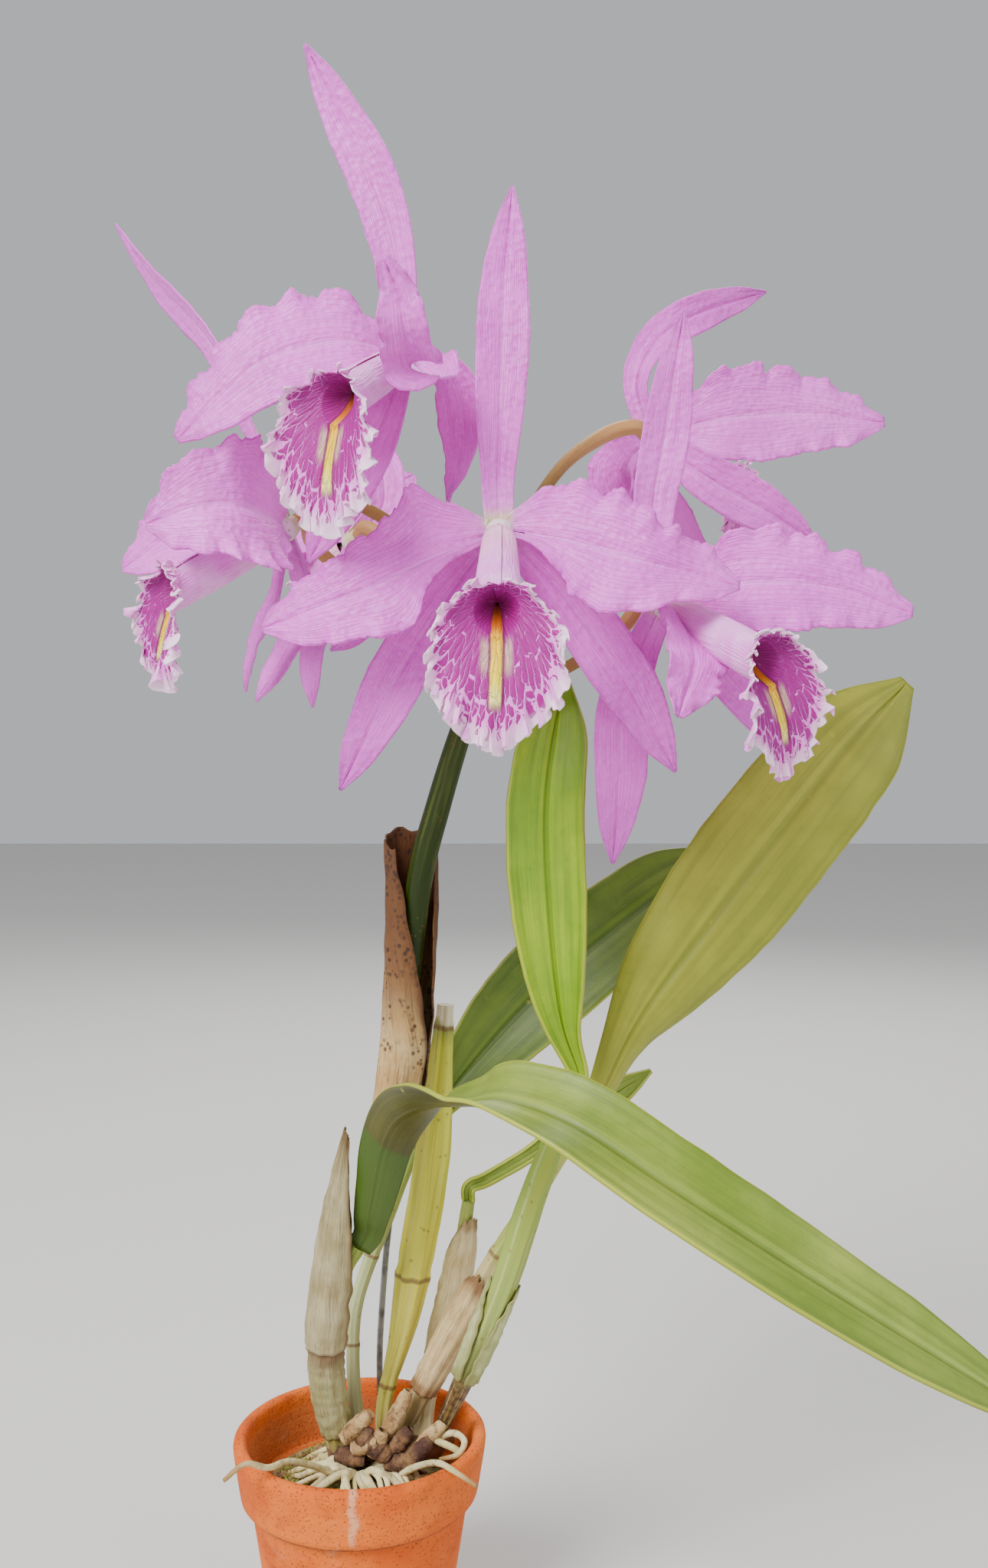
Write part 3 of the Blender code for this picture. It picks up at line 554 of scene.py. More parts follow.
@dataclass(frozen=True)
class LeafFinish:
    """A strap leaf: leathery green, a channelled midrib, long fine veins and a thin pale edge."""

    name: str
    body: Colour
    light: Colour
    dark: Colour
    rib: float = 0.5
    edge: Colour = shade(176, 180, 50)
    rough: float = 0.34
    # where the painted shade on the leaf's lower part ends, and its darker green
    shaded_base_end: float = 0.0
    shaded_base_colour: Colour = shade(60, 88, 0)

    def make(self) -> bpy.types.Material:
        """Builds the material.

        Returns:
            The material.
        """
        paint = Paint(self.name)
        u, v = paint.mesh_uv()
        aside = abs(u - 0.5) * 2
        spot = paint.place()
        clouds = paint.cloud(spot, 26, 4, 0.6)
        paint.colour = paint.mix(clouds.step(0.32, 0.7), self.body, self.light)
        paint.lay(paint.cloud(paint.point(u * 9, v * 1.6), 1, 3).step(0.42, 0.66) * 0.45, self.dark)
        lines = paint.cloud(paint.point(u * 110, v * 3), 1, 2)
        paint.lay(lines.step(0.52, 0.7) * 0.25, self.light)
        paint.lay(paint.cloud(spot, 420, 3).step(0.54, 0.78) * 0.2, self.dark)
        rib = aside.step(0.12, 0.0)
        paint.lay(rib * self.rib, self.dark)
        paint.lay(aside.step(0.24, 0.12) * aside.step(0.05, 0.12) * 0.3, self.light)
        paint.lay(v.step(0.16, 0.0) * 0.6, self.light)
        paint.lay(aside.step(0.965, 0.995) * 0.6, self.edge)
        speck = paint.cells(spot, 130).step(0.16, 0.08) * paint.cloud(spot, 60, 2).step(0.55, 0.7)
        paint.lay(speck * 0.6, self.edge)
        # painted shade and transmitted light: the lower part of the leaf is painted a darker green
        if self.shaded_base_end:
            low = (v - u * 0.02).step(self.shaded_base_end + 0.004, self.shaded_base_end - 0.004)
            paint.lay(low * 0.9, self.shaded_base_colour)
        height = rib * -1.6 + lines * 0.5 + paint.cloud(spot, 300, 3) * 0.5
        return paint.done(self.rough + clouds * 0.18, height, 0.0003, Coat_Weight=0.1, Coat_Roughness=0.3)


@dataclass(frozen=True)
class CaneFinish:
    """A ribbed cane: colours along its length, thin dry rings at its joints and dark streaks."""

    name: str
    stops: tuple[tuple[float, Colour], ...]
    ring: Colour = shade(120, 84, 50)
    rings: tuple[float, ...] = ()
    streak: Colour = shade(166, 156, 30)
    blotch: tuple[float, float] = (0.0, 0.0)

    def make(self) -> bpy.types.Material:
        """Builds the material.

        Returns:
            The material.
        """
        paint = Paint(self.name)
        u, v = paint.mesh_uv()
        spot = paint.place()
        wobble = (paint.cloud(spot, 90, 3) - 0.5) * 0.1
        paint.colour = paint.ramp(v + wobble, self.stops)
        ribs = paint.cloud(paint.point(u * 18, v * 2.0), 1, 3)
        paint.lay(ribs.step(0.5, 0.68) * 0.45, self.streak)
        paint.lay(ribs.step(0.48, 0.34) * 0.35, shade(226, 222, 150))
        for where in self.rings:
            band = abs(v + wobble * 0.15 - where).step(0.009, 0.002)
            paint.lay(band * 0.8, self.ring)
        if self.blotch[1]:
            dry = paint.cloud(spot, 210, 4, 0.7).step(0.4, 0.56) * v.step(self.blotch[1], self.blotch[0])
            paint.lay(dry * 0.85, shade(54, 34, 24))
        paint.lay(paint.cells(spot, 260).step(0.2, 0.08) * 0.5, self.ring)
        height = ribs * 1.2 + paint.cloud(spot, 700, 2) * 0.3
        return paint.done(0.46 + ribs * 0.2, height, 0.0004)


@dataclass(frozen=True)
class PaperFinish:
    """A dry sheath: grey-tan paper with long fibres, brown stained edges and dark spots."""

    name: str
    body: Colour = shade(176, 160, 132)
    pale: Colour = shade(206, 196, 170)
    brown: Colour = shade(112, 72, 44)
    dark: Colour = shade(60, 34, 22)
    spotted: bool = False
    stain_low: tuple[float, float] = (0.0, 0.0)
    stain_high: tuple[float, float] = (0.9, 1.0)

    def make(self) -> bpy.types.Material:
        """Builds the material.

        Returns:
            The material.
        """
        paint = Paint(self.name)
        u, v = paint.mesh_uv()
        spot = paint.place()
        fibre = paint.cloud(paint.point(u * 60, v * 5), 1, 4, 0.65)
        clouds = paint.cloud(spot, 60, 4, 0.6)
        paint.colour = paint.mix(clouds.step(0.35, 0.65), self.body, self.pale)
        paint.lay(fibre.step(0.5, 0.66) * 0.55, self.brown)
        aside = abs(u - 0.5) * 2
        uneven = (clouds - 0.5) * 0.5
        edge = (aside + uneven * 0.4).step(0.88, 0.98)
        paint.lay(edge * 0.8, self.brown)
        if self.stain_low[1] > 0:
            paint.lay((v + uneven).step(self.stain_low[1], self.stain_low[0]) * 0.85, self.brown)
        paint.lay((v + uneven * 0.6).step(*self.stain_high) * 0.85, self.brown)
        if self.spotted:
            ground = (v + uneven * 0.5).step(0.36, 0.62)
            paint.lay(ground * 0.85, shade(104, 62, 26))
            dots = paint.cells(spot, 520).step(0.46, 0.26) * paint.cloud(spot, 130, 2).step(0.4, 0.56)
            paint.lay(dots * (v + uneven * 0.3).step(0.2, 0.42) * 0.9, self.dark)
            large = paint.cells(spot, 210).step(0.36, 0.2) * clouds.step(0.48, 0.6)
            paint.lay(large * v.step(0.3, 0.5) * 0.85, self.dark)
        height = fibre * 1.4 + clouds * 0.8
        return paint.done(0.72 + fibre * 0.15, height, 0.0005)


@dataclass(frozen=True)
class StemFinish:
    """The green flower stem, and its pedicels that turn olive and pink-tan."""

    name: str
    low: Colour
    high: Colour
    speck: Colour = shade(120, 70, 50)

    def make(self) -> bpy.types.Material:
        """Builds the material.

        Returns:
            The material.
        """
        paint = Paint(self.name)
        u, v = paint.mesh_uv()
        spot = paint.place()
        clouds = paint.cloud(spot, 70, 3)
        paint.colour = paint.mix((v + (clouds - 0.5) * 0.5).step(0.1, 0.85), self.low, self.high)
        lines = paint.cloud(paint.point(u * 20, v * 5), 1, 3)
        paint.lay(lines.step(0.48, 0.7) * 0.18, shade(150, 158, 50))
        paint.lay(paint.cells(spot, 620).step(0.24, 0.12) * clouds.step(0.45, 0.6) * 0.6, self.speck)
        height = lines + paint.cloud(spot, 600, 2) * 0.3
        return paint.done(0.4 + clouds * 0.15, height, 0.0002, Specular_IOR_Level=0.3)


@dataclass(frozen=True)
class ClayFinish:
    """Fired clay: orange, dusted with lime, with a pale drip down its front, a dark line of dirt and painted
    shade under its rim band, and painted shade inside.
    """

    name: str = "fired_clay"
    body: Colour = shade(208, 86, 12)
    light: Colour = shade(230, 116, 34)
    dark: Colour = shade(146, 60, 26)
    lime: Colour = shade(236, 204, 172)
    drip_x: float = 0.0015
    drip_z: tuple[float, float] = (0.056, 0.0715)
    crease_z: float = 0.0542

    def make(self) -> bpy.types.Material:
        """Builds the material.

        Returns:
            The material.
        """
        paint = Paint(self.name)
        spot = paint.place()
        x, y, z = paint.split(spot)
        clouds = paint.cloud(spot, 34, 5, 0.6)
        paint.colour = paint.mix(clouds.step(0.34, 0.68), self.body, self.light)
        paint.lay(paint.cloud(spot, 120, 4).step(0.52, 0.7) * 0.35, self.dark)
        turned = paint.cloud(paint.point(x * 10, y * 10, z * 420), 1, 3)
        paint.lay(turned.step(0.5, 0.68) * 0.2, self.light)
        grit = paint.cells(spot, 900).step(0.26, 0.1)
        paint.lay(grit * 0.35, self.dark)
        wobble = paint.cloud(spot, 200, 3) - 0.5
        aside = abs(x - self.drip_x + wobble * 0.004)
        run = (z + wobble * 0.004).step(self.drip_z[0] - 0.002, self.drip_z[0] + 0.004)
        drip = aside.step(0.0019, 0.0004) * run * y.step(0.0, -0.02)
        paint.lay(drip * 0.4, self.lime)
        dust = paint.cloud(spot, 75, 5, 0.7).step(0.58, 0.8) * 0.25
        paint.lay(dust, self.lime)
        band = (z + wobble * 0.002).step(0.0022, 0.0)
        # a dark line of dirt and painted shade along the crease under the rim band
        crease_shade_and_dirt = abs(z - self.crease_z + wobble * 0.0012).step(0.0013, 0.0002)
        paint.lay(crease_shade_and_dirt * 0.7, shade(74, 36, 26))
        paint.lay(band * 0.5, self.dark)
        # painted shade: the inner wall just below the rim is painted darker and browner
        inside = (x * x + y * y).math("SQRT").step(0.0372, 0.0352) * z.step(0.05, 0.06)
        paint.lay(inside * z.step(0.0705, 0.066) * 0.5, shade(150, 88, 56))
        height = turned * 0.8 + paint.cloud(spot, 900, 3) * 0.8 - grit + drip * 0.5
        return paint.done(0.82 - drip * 0.1, height, 0.0004, Specular_IOR_Level=0.3)


@dataclass(frozen=True)
class EarthFinish:
    """Moss, bark or root, each a mottled matt surface with its own grain."""

    name: str
    body: Colour
    light: Colour
    dark: Colour
    grain: float = 260
    rough: float = 0.9
    tips: Colour | None = None

    def make(self) -> bpy.types.Material:
        """Builds the material.

        Returns:
            The material.
        """
        paint = Paint(self.name)
        spot = paint.place()
        clouds = paint.cloud(spot, self.grain * 0.4, 4, 0.6)
        paint.colour = paint.mix(clouds.step(0.34, 0.66), self.body, self.light)
        paint.lay(paint.cloud(spot, self.grain, 4, 0.65).step(0.5, 0.68) * 0.7, self.dark)
        if self.tips:
            _, v = paint.mesh_uv()
            paint.lay((v + (clouds - 0.5) * 0.5).step(0.7, 1.0), self.tips)
        height = clouds + paint.cloud(spot, self.grain * 3, 3)
        return paint.done(self.rough, height, 0.0005)


@dataclass(frozen=True)
class WireFinish:
    """Dull zinc-coated wire."""

    name: str = "zinc_wire"

    def make(self) -> bpy.types.Material:
        """Builds the material.

        Returns:
            The material.
        """
        paint = Paint(self.name)
        spot = paint.place()
        clouds = paint.cloud(spot, 240, 4)
        paint.colour = paint.mix(clouds.step(0.35, 0.65), shade(112, 114, 120), shade(168, 170, 176))
        return paint.done(0.42 + clouds * 0.2, clouds, 0.0001, Metallic=0.75)


class Piece:
    """A mesh in the making, with its UV map and its named measures."""

    def __init__(self) -> None:
        """Starts an empty mesh."""
        self.bm = bmesh.new()
        self.uv = self.bm.loops.layers.uv.new("Laid")

    def layer(self, name: str) -> bmesh.types.BMLayerItem:
        """The named measure, made when first asked for."""
        return self.bm.verts.layers.float.get(name) or self.bm.verts.layers.float.new(name)

    def sheet(self, across: int, along: int, place: Place, **measures: Rule) -> None:
        """Lays a grid over a surface.

        Args:
            across: faces from side to side.
            along: faces from base to tip.
            place: the point for v from -1 to 1 and t from 0 to 1.
            measures: numbers kept at each point, from the same v and t.
        """
        layers = {name: self.layer(name) for name in measures}
        made = bmesh.ops.create_grid(self.bm, x_segments=across, y_segments=along, size=1, calc_uvs=True)
        for vertex in made["verts"]:
            v, t = vertex.co.x, (vertex.co.y + 1) / 2
            vertex.co = place(v, t)
            for name, rule in measures.items():
                vertex[layers[name]] = rule(v, t)

    def rod(self, line: Sequence[Vector], radius: Rule, sides: int) -> None:
        """A closed rod round a line, with its length along the second UV direction.

        Args:
            line: the points of its middle.
            radius: the radius in metres at a turn from 0 to 1 and a share of the length.
            sides: faces round it.
        """
        frames = []
        side = Vector((0, -1, 0))
        for i, point in enumerate(line):
            along = tangent_at(line, i)
            side = (side - along * side.dot(along)).normalized()
            frames.append((point, side.copy(), along.cross(side)))

        def place(v: float, t: float) -> Vector:
            """The point at one place on the rod.

            Args:
                v: from -1 to 1 round it.
                t: from 0 at its start to 1 at its end.

            Returns:
                The point in metres.
            """
            turn = math.pi * v
            point, out, up = frames[round(t * (len(line) - 1))]
            reach = radius((v + 1) / 2, t)
            return point + out * math.cos(turn) * reach + up * math.sin(turn) * reach

        first = len(self.bm.verts)
        self.sheet(sides, len(line) - 1, place)
        self.bm.verts.ensure_lookup_table()
        fresh = self.bm.verts[first:]
        bmesh.ops.remove_doubles(self.bm, verts=fresh, dist=1e-7)
        ends = [edge for edge in self.bm.edges if edge.is_boundary]
        bmesh.ops.holes_fill(self.bm, edges=ends, sides=sides + 2)

    def tidy(self) -> "Piece":
        """Turns every face of a closed mesh outwards."""
        bmesh.ops.recalc_face_normals(self.bm, faces=self.bm.faces[:])
        return self

    def finish(self, name: str, slot: str, paints: Sequence[bpy.types.Material], replaced: Sequence[str] = (),
               thick: float = 0.0, sharp: float = 60, back: int = 0) -> bpy.types.Object:
        """Makes the object and reports it through the log.

        Args:
            name: the piece's name.
            slot: the record's material slot; not used.
            paints: its materials.
            replaced: the solids that it stands for.
            thick: thickness in mm given to an open sheet.
            sharp: degrees past which an edge stays sharp.
            back: how many materials on the back of the sheet is.

        Returns:
            The object.
        """
        mesh = bpy.data.meshes.new(name)
        self.bm.to_mesh(mesh)
        self.bm.free()
        mesh.shade_smooth()
        mesh.set_sharp_from_angle(angle=math.radians(sharp))
        for paint in paints:
            mesh.materials.append(paint)
        made = bpy.data.objects.new(name, mesh)
        bpy.context.scene.collection.objects.link(made)
        if thick:
            wall = made.modifiers.new("wall", "SOLIDIFY")
            wall.thickness = thick * MM
            wall.offset = 0
            wall.material_offset = back
        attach(made, "root")
        if replaced:
            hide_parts(*replaced)
        LOG.info("%s: %d faces", name, len(mesh.polygons))
        return made


SEPAL = (0.55, 0.62, 0.78, 0.93, 1.0, 0.97, 0.84, 0.58, 0.06)
PETAL = (0.14, 0.42, 0.86, 1.0, 0.96, 0.84, 0.70, 0.50, 0.10)
STRAP = (0.22, 0.40, 0.74, 0.92, 1.0, 1.0, 0.95, 0.78, 0.14)
FOLDED = (0.25, 0.54, 0.74, 0.95, 1.0, 1.0, 0.95, 0.72, 0.12)
SMALL = (0.42, 0.45, 0.48, 0.52, 0.70, 0.95, 1.0, 0.70, 0.10)
CURLED = (0.30, 0.90, 1.0, 0.95, 0.92, 0.90, 0.80, 0.60, 0.25)
LEFT_UPPER = (0.10, 0.55, 1.0, 0.78, 0.70, 0.60, 0.50, 0.42, 0.08)
LEFT_LOWER = (0.10, 0.12, 0.16, 0.36, 0.80, 0.66, 0.56, 0.40, 0.08)
RIGHT_UPPER = (0.10, 0.62, 0.86, 0.88, 0.86, 0.66, 0.55, 0.48, 0.08)
RIGHT_LOWER = (0.10, 0.12, 0.36, 0.76, 0.94, 0.78, 0.48, 0.36, 0.06)
SEAT_SIDE = Vector((0.3, -1, 0))


@dataclass(frozen=True)
class Blade:
    """A sepal, petal or leaf: its midrib in the picture, how wide it is and which way it faces."""

    rib: tuple[Spot, ...]
    half_width: float
    faces: tuple[Spot, ...]
    outline: tuple[float, ...] = SEPAL
    other: tuple[float, ...] | None = None
    roll: tuple[float, ...] = (40, 22, 12)
    ruffle: float = 0.0
    waves: float = 0.0

    def place(self, steps: int, base: Vector, way: Vector | None = None, seed: float = 0.0) -> Place:
        """The blade's surface.

        Args:
            steps: faces along it.
            base: where it starts.
            way: which way it leaves there, for a leaf on its cane.
            seed: a number that makes its frills its own.

        Returns:
            The surface rule for v across and t along.
        """
        points = [base, base + way * 5 * MM] if way else [base]
        line = smooth_line(points + spots(*self.rib), steps)
        faces = [Vector(face) for face in self.faces]

        def rule(v: float, t: float) -> Vector:
            """The point at one place on the blade.

            Args:
                v: from -1 at one side to 1 at the other.
                t: from 0 at its base to 1 at its tip.

            Returns:
                The point in metres.
            """
            i = round(t * steps)
            tangent = way if way and i == 0 else tangent_at(line, i)
            face = between(faces, t)
            face = (face - tangent * face.dot(tangent)).normalized()
            side = tangent.cross(face)
            outline = self.outline if v > 0 else self.other or self.outline
            width = max(eased(outline, t), 0.03) * self.half_width * MM
            hand = 3.1 if v > 0 else 7.7
            edge = max(0.0, (abs(v) - 0.35) / 0.65) ** 1.7 * min(1.0, 3.5 * t) * min(1.0, 6 * (1 - t) + 0.2)
            swing = math.sin(2 * math.pi * (self.waves * t + 0.12 * wander(seed, t * 5, hand)) + hand)
            crimp = wander(seed + hand, t * 26, 0.5)
            fine = 0.0
            if self.waves > 4:
                fine = wander(seed - hand, t * 62, 3.5) * max(0.0, (abs(v) - 0.7) / 0.3)
            width *= 1 + edge * self.ruffle * (0.035 * swing + 0.06 * crimp + 0.04 * fine)
            angle = eased(self.roll, t)
            roll = math.radians(max(abs(angle), 0.5))
            lift = -1 if angle < 0 else 1
            x = math.sin(roll * v) * width / roll
            z = (1 - math.cos(roll * v)) * width / roll * lift
            z += self.ruffle * MM * edge * (0.9 * swing + 1.2 * crimp + 0.9 * fine)
            z += 0.5 * MM * self.ruffle * wander(seed + x * 90, t * 5, 2.0)
            z -= 0.7 * MM * math.exp(-(v / 0.12) ** 2) * min(1.0, 5 * t) * (1 if self.half_width > 6 else 0.4)
            return line[i] + side * x + face * z

        return rule


@dataclass(frozen=True)
class Lip:
    """The lip: a tube to its throat, and a frilled face round the throat."""

    throat: Spot
    tip: Spot
    face: Spot
    side_reach: float = 17.5
    top_reach: float = 7.5
    bend_back: float = 6.0
    cup: float = 1.0
    throat_radius: float = 6.4
    hub_radius: float = 4.3
    tube_share: float = 0.3125
    frills: tuple[Spot, ...] = ((9, 0.4, 2.1), (23, 0.6, 1.7), (51, 0.8, 0.85))
    palate: tuple[float, float] = (4.0, 6.5)

    def surface(self, hub: Vector, hub_length: float, seed: float) -> Place:
        """The lip's surface, from the hub to its crisped margin.

        Args:
            hub: the middle of the bloom.
            hub_length: the hub's length in mm.
            seed: a number that makes its frills its own.

        Returns:
            The surface rule for v round it and t outwards.
        """
        throat = EYE.seen(*self.throat)
        front = (throat - hub).normalized()
        start = hub + front * (hub_length / 2 + SEAT_GAP) * MM
        face = Vector(self.face).normalized()
        down = EYE.seen(*self.tip) - throat
        down -= face * down.dot(face)
        height = (down.length / MM + self.top_reach) / 2
        shift = (down.length / MM - self.top_reach) / 2
        down.normalize()
        side = down.cross(face)

        def rule(v: float, t: float) -> Vector:
            """The point at one place on the lip.

            Args:
                v: from -1 to 1 round it, 0 at the bottom.
                t: from 0 at the hub to 1 at the margin.

            Returns:
                The point in metres.
            """
            s, turn = self.sweep(v, t), self.turn(v, t)
            wide, low = math.sin(turn), math.cos(turn)
            if s <= 0:
                s += 1
                axis = front.lerp(face, s ** 2).normalized()
                sink = (down - axis * down.dot(axis)).normalized()
                radius = self.hub_radius + (self.throat_radius - self.hub_radius) * s ** 0.8
                radius += 0.35 * v * abs(v) ** 8
                radius += 0.25 * s * wander(seed + turn * 2, s * 3)
                return start.lerp(throat, s) + (sink * low + sink.cross(axis) * wide) * radius * MM
            notch = 1 - 0.10 * math.exp(-((abs(turn) - 0.62) / 0.16) ** 2) * s * s
            across = (self.throat_radius + (self.side_reach - self.throat_radius) * s) * notch
            upright = (self.throat_radius + (height - self.throat_radius) * s) * notch
            rise = 4 * s + self.cup * wide * wide * s - self.bend_back * s * s * (0.5 + 0.5 * low)
            rise += 1.4 * s ** 3 * wander(seed + turn * 5, s * 1.5, 1.0)
            rise -= 0.9 * math.exp(-(turn * across / 2.2) ** 2) * (1 - s)
            slide, push = 0.0, 0.0
            for count, first, size in self.frills:
                uneven = 0.8 + 0.9 * wander(seed + count, turn * 2.2)
                size *= max(0.0, (s - first) / (1 - first)) ** 1.3 * uneven
                phase = count * turn + 4 * wander(seed + 0.7 * count, turn * 1.5)
                rise += size * math.sin(phase)
                slide += 0.6 * size * math.sin(2 * phase)
                push += 0.42 * size * math.cos(phase)
            point = throat + down * (shift * s + low * (upright + push) - wide * slide) * MM
            return point + (side * (wide * (across + push) + low * slide) + face * rise) * MM

        return rule

    def palate_surface(self, place: Place) -> Place:
        """The floor of the throat, from the ring round it to a small mouth above its middle.

        Args:
            place: the lip's own surface.

        Returns:
            The surface rule, with t = 1 on the ring.
        """
        throat = EYE.seen(*self.throat)
        face = Vector(self.face).normalized()
        down = EYE.seen(*self.tip) - throat
        down = (down - face * down.dot(face)).normalized()
        lift, depth = self.palate
        end = throat - (down * lift + face * depth) * MM

        def rule(v: float, t: float) -> Vector:
            """The point at one place in the throat.

            Args:
                v: from -1 to 1 round the throat.
                t: from 0 at its small mouth to 1 on the ring.

            Returns:
                The point in metres.
            """
            ring = place(v, self.tube_share)
            share = 0.94 * (1 - t)
            return ring.lerp(end, share) - face * (1.2 * math.sin(math.pi * (1 - t))) * MM

        return rule

    def sweep(self, v: float, t: float) -> float:
        """From -1 at the hub to 0 at the throat and 1 at the margin, where the rows lie closer.

        Args:
            v: from -1 to 1 round the lip; not used.
            t: from 0 at the hub to 1 at the margin.

        Returns:
            The sweep.
        """
        if t <= self.tube_share:
            return t / self.tube_share - 1
        return 1 - (1 - (t - self.tube_share) / (1 - self.tube_share)) ** 1.5

    def turn(self, v: float, t: float) -> float:
        """The angle round the tube or the face, 0 at the bottom.

        Args:
            v: from -1 to 1 round the lip.
            t: from 0 at the hub to 1 at the margin.

        Returns:
            The angle.
        """
        sweep = self.sweep(v, t)
        gap = -0.14 if sweep <= 0 else -0.14 + 0.26 * min(1.0, sweep * 1.6)
        return v * (math.pi - gap)

    def aside(self, v: float, t: float) -> float:
        """The distance from the lip's middle line, in mm round its surface."""
        reach = self.throat_radius + (self.side_reach - self.throat_radius) * max(0.0, self.sweep(v, t))
        return self.turn(v, t) * reach * 0.9


def petal(rib: tuple[Spot, ...], half_width: float, face: Spot, face_tip: Spot | None = None,
          roll: tuple[float, ...] = (30, 8, -12), waves: float = 7.0,
          outlines: tuple = (PETAL, None)) -> Blade:
    """A broad petal with frilled edges."""
    return Blade(rib, half_width, (face, face_tip or face), *outlines, roll, 1.25, waves)


def sepal(rib: tuple[Spot, ...], half_width: float, face: Spot, face_tip: Spot | None = None,
          roll: tuple[float, ...] = (40, 22, 12)) -> Blade:
    """A narrow sepal with plain, slightly wavy edges."""
    return Blade(rib, half_width, (face, face_tip or face), SEPAL, None, roll, 0.35, 3.0)


def leaf(rib: tuple[Spot, ...], half_width: float, faces: tuple[Spot, ...],
         roll: tuple[float, ...] = (70, 25, 15), outline: tuple[float, ...] = STRAP) -> Blade:
    """A strap leaf."""
    return Blade(rib, half_width, faces, outline, None, roll, 0.25, 2.0)


@dataclass
class Bloom:
    """One flower: its hub, tepals, column and lip."""

    name: str
    hub: Spot
    blades: tuple[Blade, ...]
    lip: Lip
    pedicel: tuple[Spot, ...]
    tone: float = 0.3
    seed: float = 1.0

    hub_length: float = 7.0
    hub_radii: tuple[float, ...] = (2.5, 3.2, 3.9, 3.7, 2.6)
    column_length: float = 17.0
    column_radii: tuple[float, ...] = (2.1, 2.2, 2.3, 2.5, 1.2)
    setback: float = 1.2
    petal_faces: tuple[int, int] = (36, 104)
    sepal_faces: tuple[int, int] = (16, 60)
    lip_faces: tuple[int, int] = (280, 48)
    throat_faces: tuple[int, int] = (60, 14)

    def axis(self) -> tuple[Vector, Vector]:
        """The hub's middle and the way from it to the throat."""
        hub = EYE.seen(*self.hub)
        return hub, (EYE.seen(*self.lip.throat) - hub).normalized()

    def make_tepals(self, paint: bpy.types.Material) -> bpy.types.Object:
        """Builds the sepals and petals, in front of a short swollen hub.

        Args:
            paint: their material.

        Returns:
            The object.
        """
        hub, front = self.axis()
        piece = Piece()
        for k, blade in enumerate(self.blades):
            across, along = self.petal_faces if blade.ruffle > 1 else self.sepal_faces
            tone = self.tone + 0.25 * wander(self.seed + k * 3.3, 1.0)
            place = blade.place(along, hub - front * self.setback * MM, None, self.seed + k * 5.1)
            piece.sheet(across, along, place, tone=lambda v, t, tone=tone: tone)
        return piece.finish("tepals_" + self.name, "petal", [paint], ["bloom_" + self.name], thick=0.55)

    def make_heart(self, paint: bpy.types.Material) -> bpy.types.Object:
        """Builds the swollen hub and the column inside the tube.

        Args:
            paint: their material.

        Returns:
            The object.
        """
        hub, front = self.axis()
        throat = EYE.seen(*self.lip.throat)
        back = hub - front * self.hub_length / 2 * MM
        nose = hub + front * self.hub_length / 2 * MM
        piece = Piece()
        piece.rod(smooth_line([back, hub, nose], 12), lambda u, t: eased(self.hub_radii, t) * MM, 16)
        end = nose + front * min(self.column_length * MM, 0.8 * (throat - nose).length)
        line = smooth_line([nose - front * MM, nose.lerp(end, 0.5), end], 14)
        piece.rod(line, lambda u, t: eased(self.column_radii, t) * MM, 14)
        return piece.tidy().finish("heart_" + self.name, "petal", [paint])

    def make_lip(self, inner: bpy.types.Material, outer: bpy.types.Material) -> bpy.types.Object:
        """Builds the frilled lip and the floor of its throat.

        Args:
            inner: the material of its face.
            outer: the material of its back.

        Returns:
            The object.
        """
        hub, _ = self.axis()
        piece = Piece()
        lip = self.lip
        place = lip.surface(hub, self.hub_length, self.seed * 7)
        piece.sheet(*self.lip_faces, place, sweep=lip.sweep, turn=lip.turn, aside=lip.aside)
        ring = lip.tube_share
        piece.sheet(*self.throat_faces, lip.palate_surface(place),
                    sweep=lambda v, t: 0.5 * (t - 1),
                    turn=lambda v, t: lip.turn(v, ring),
                    aside=lambda v, t: lip.aside(v, ring) * (0.2 + 0.8 * t))
        name = "lip_" + self.name
        return piece.finish(name, "lip", [inner, outer], [name], thick=0.4, back=1)

    def pedicel_line(self) -> list[Vector]:
        """The line of the stalk, from the stem to just behind the hub.

        Returns:
            Its points in metres.
        """
        hub, front = self.axis()
        end = hub - front * (self.hub_length / 2 + SEAT_GAP) * MM
        return spots(*self.pedicel) + [end - front * 5 * MM, end]


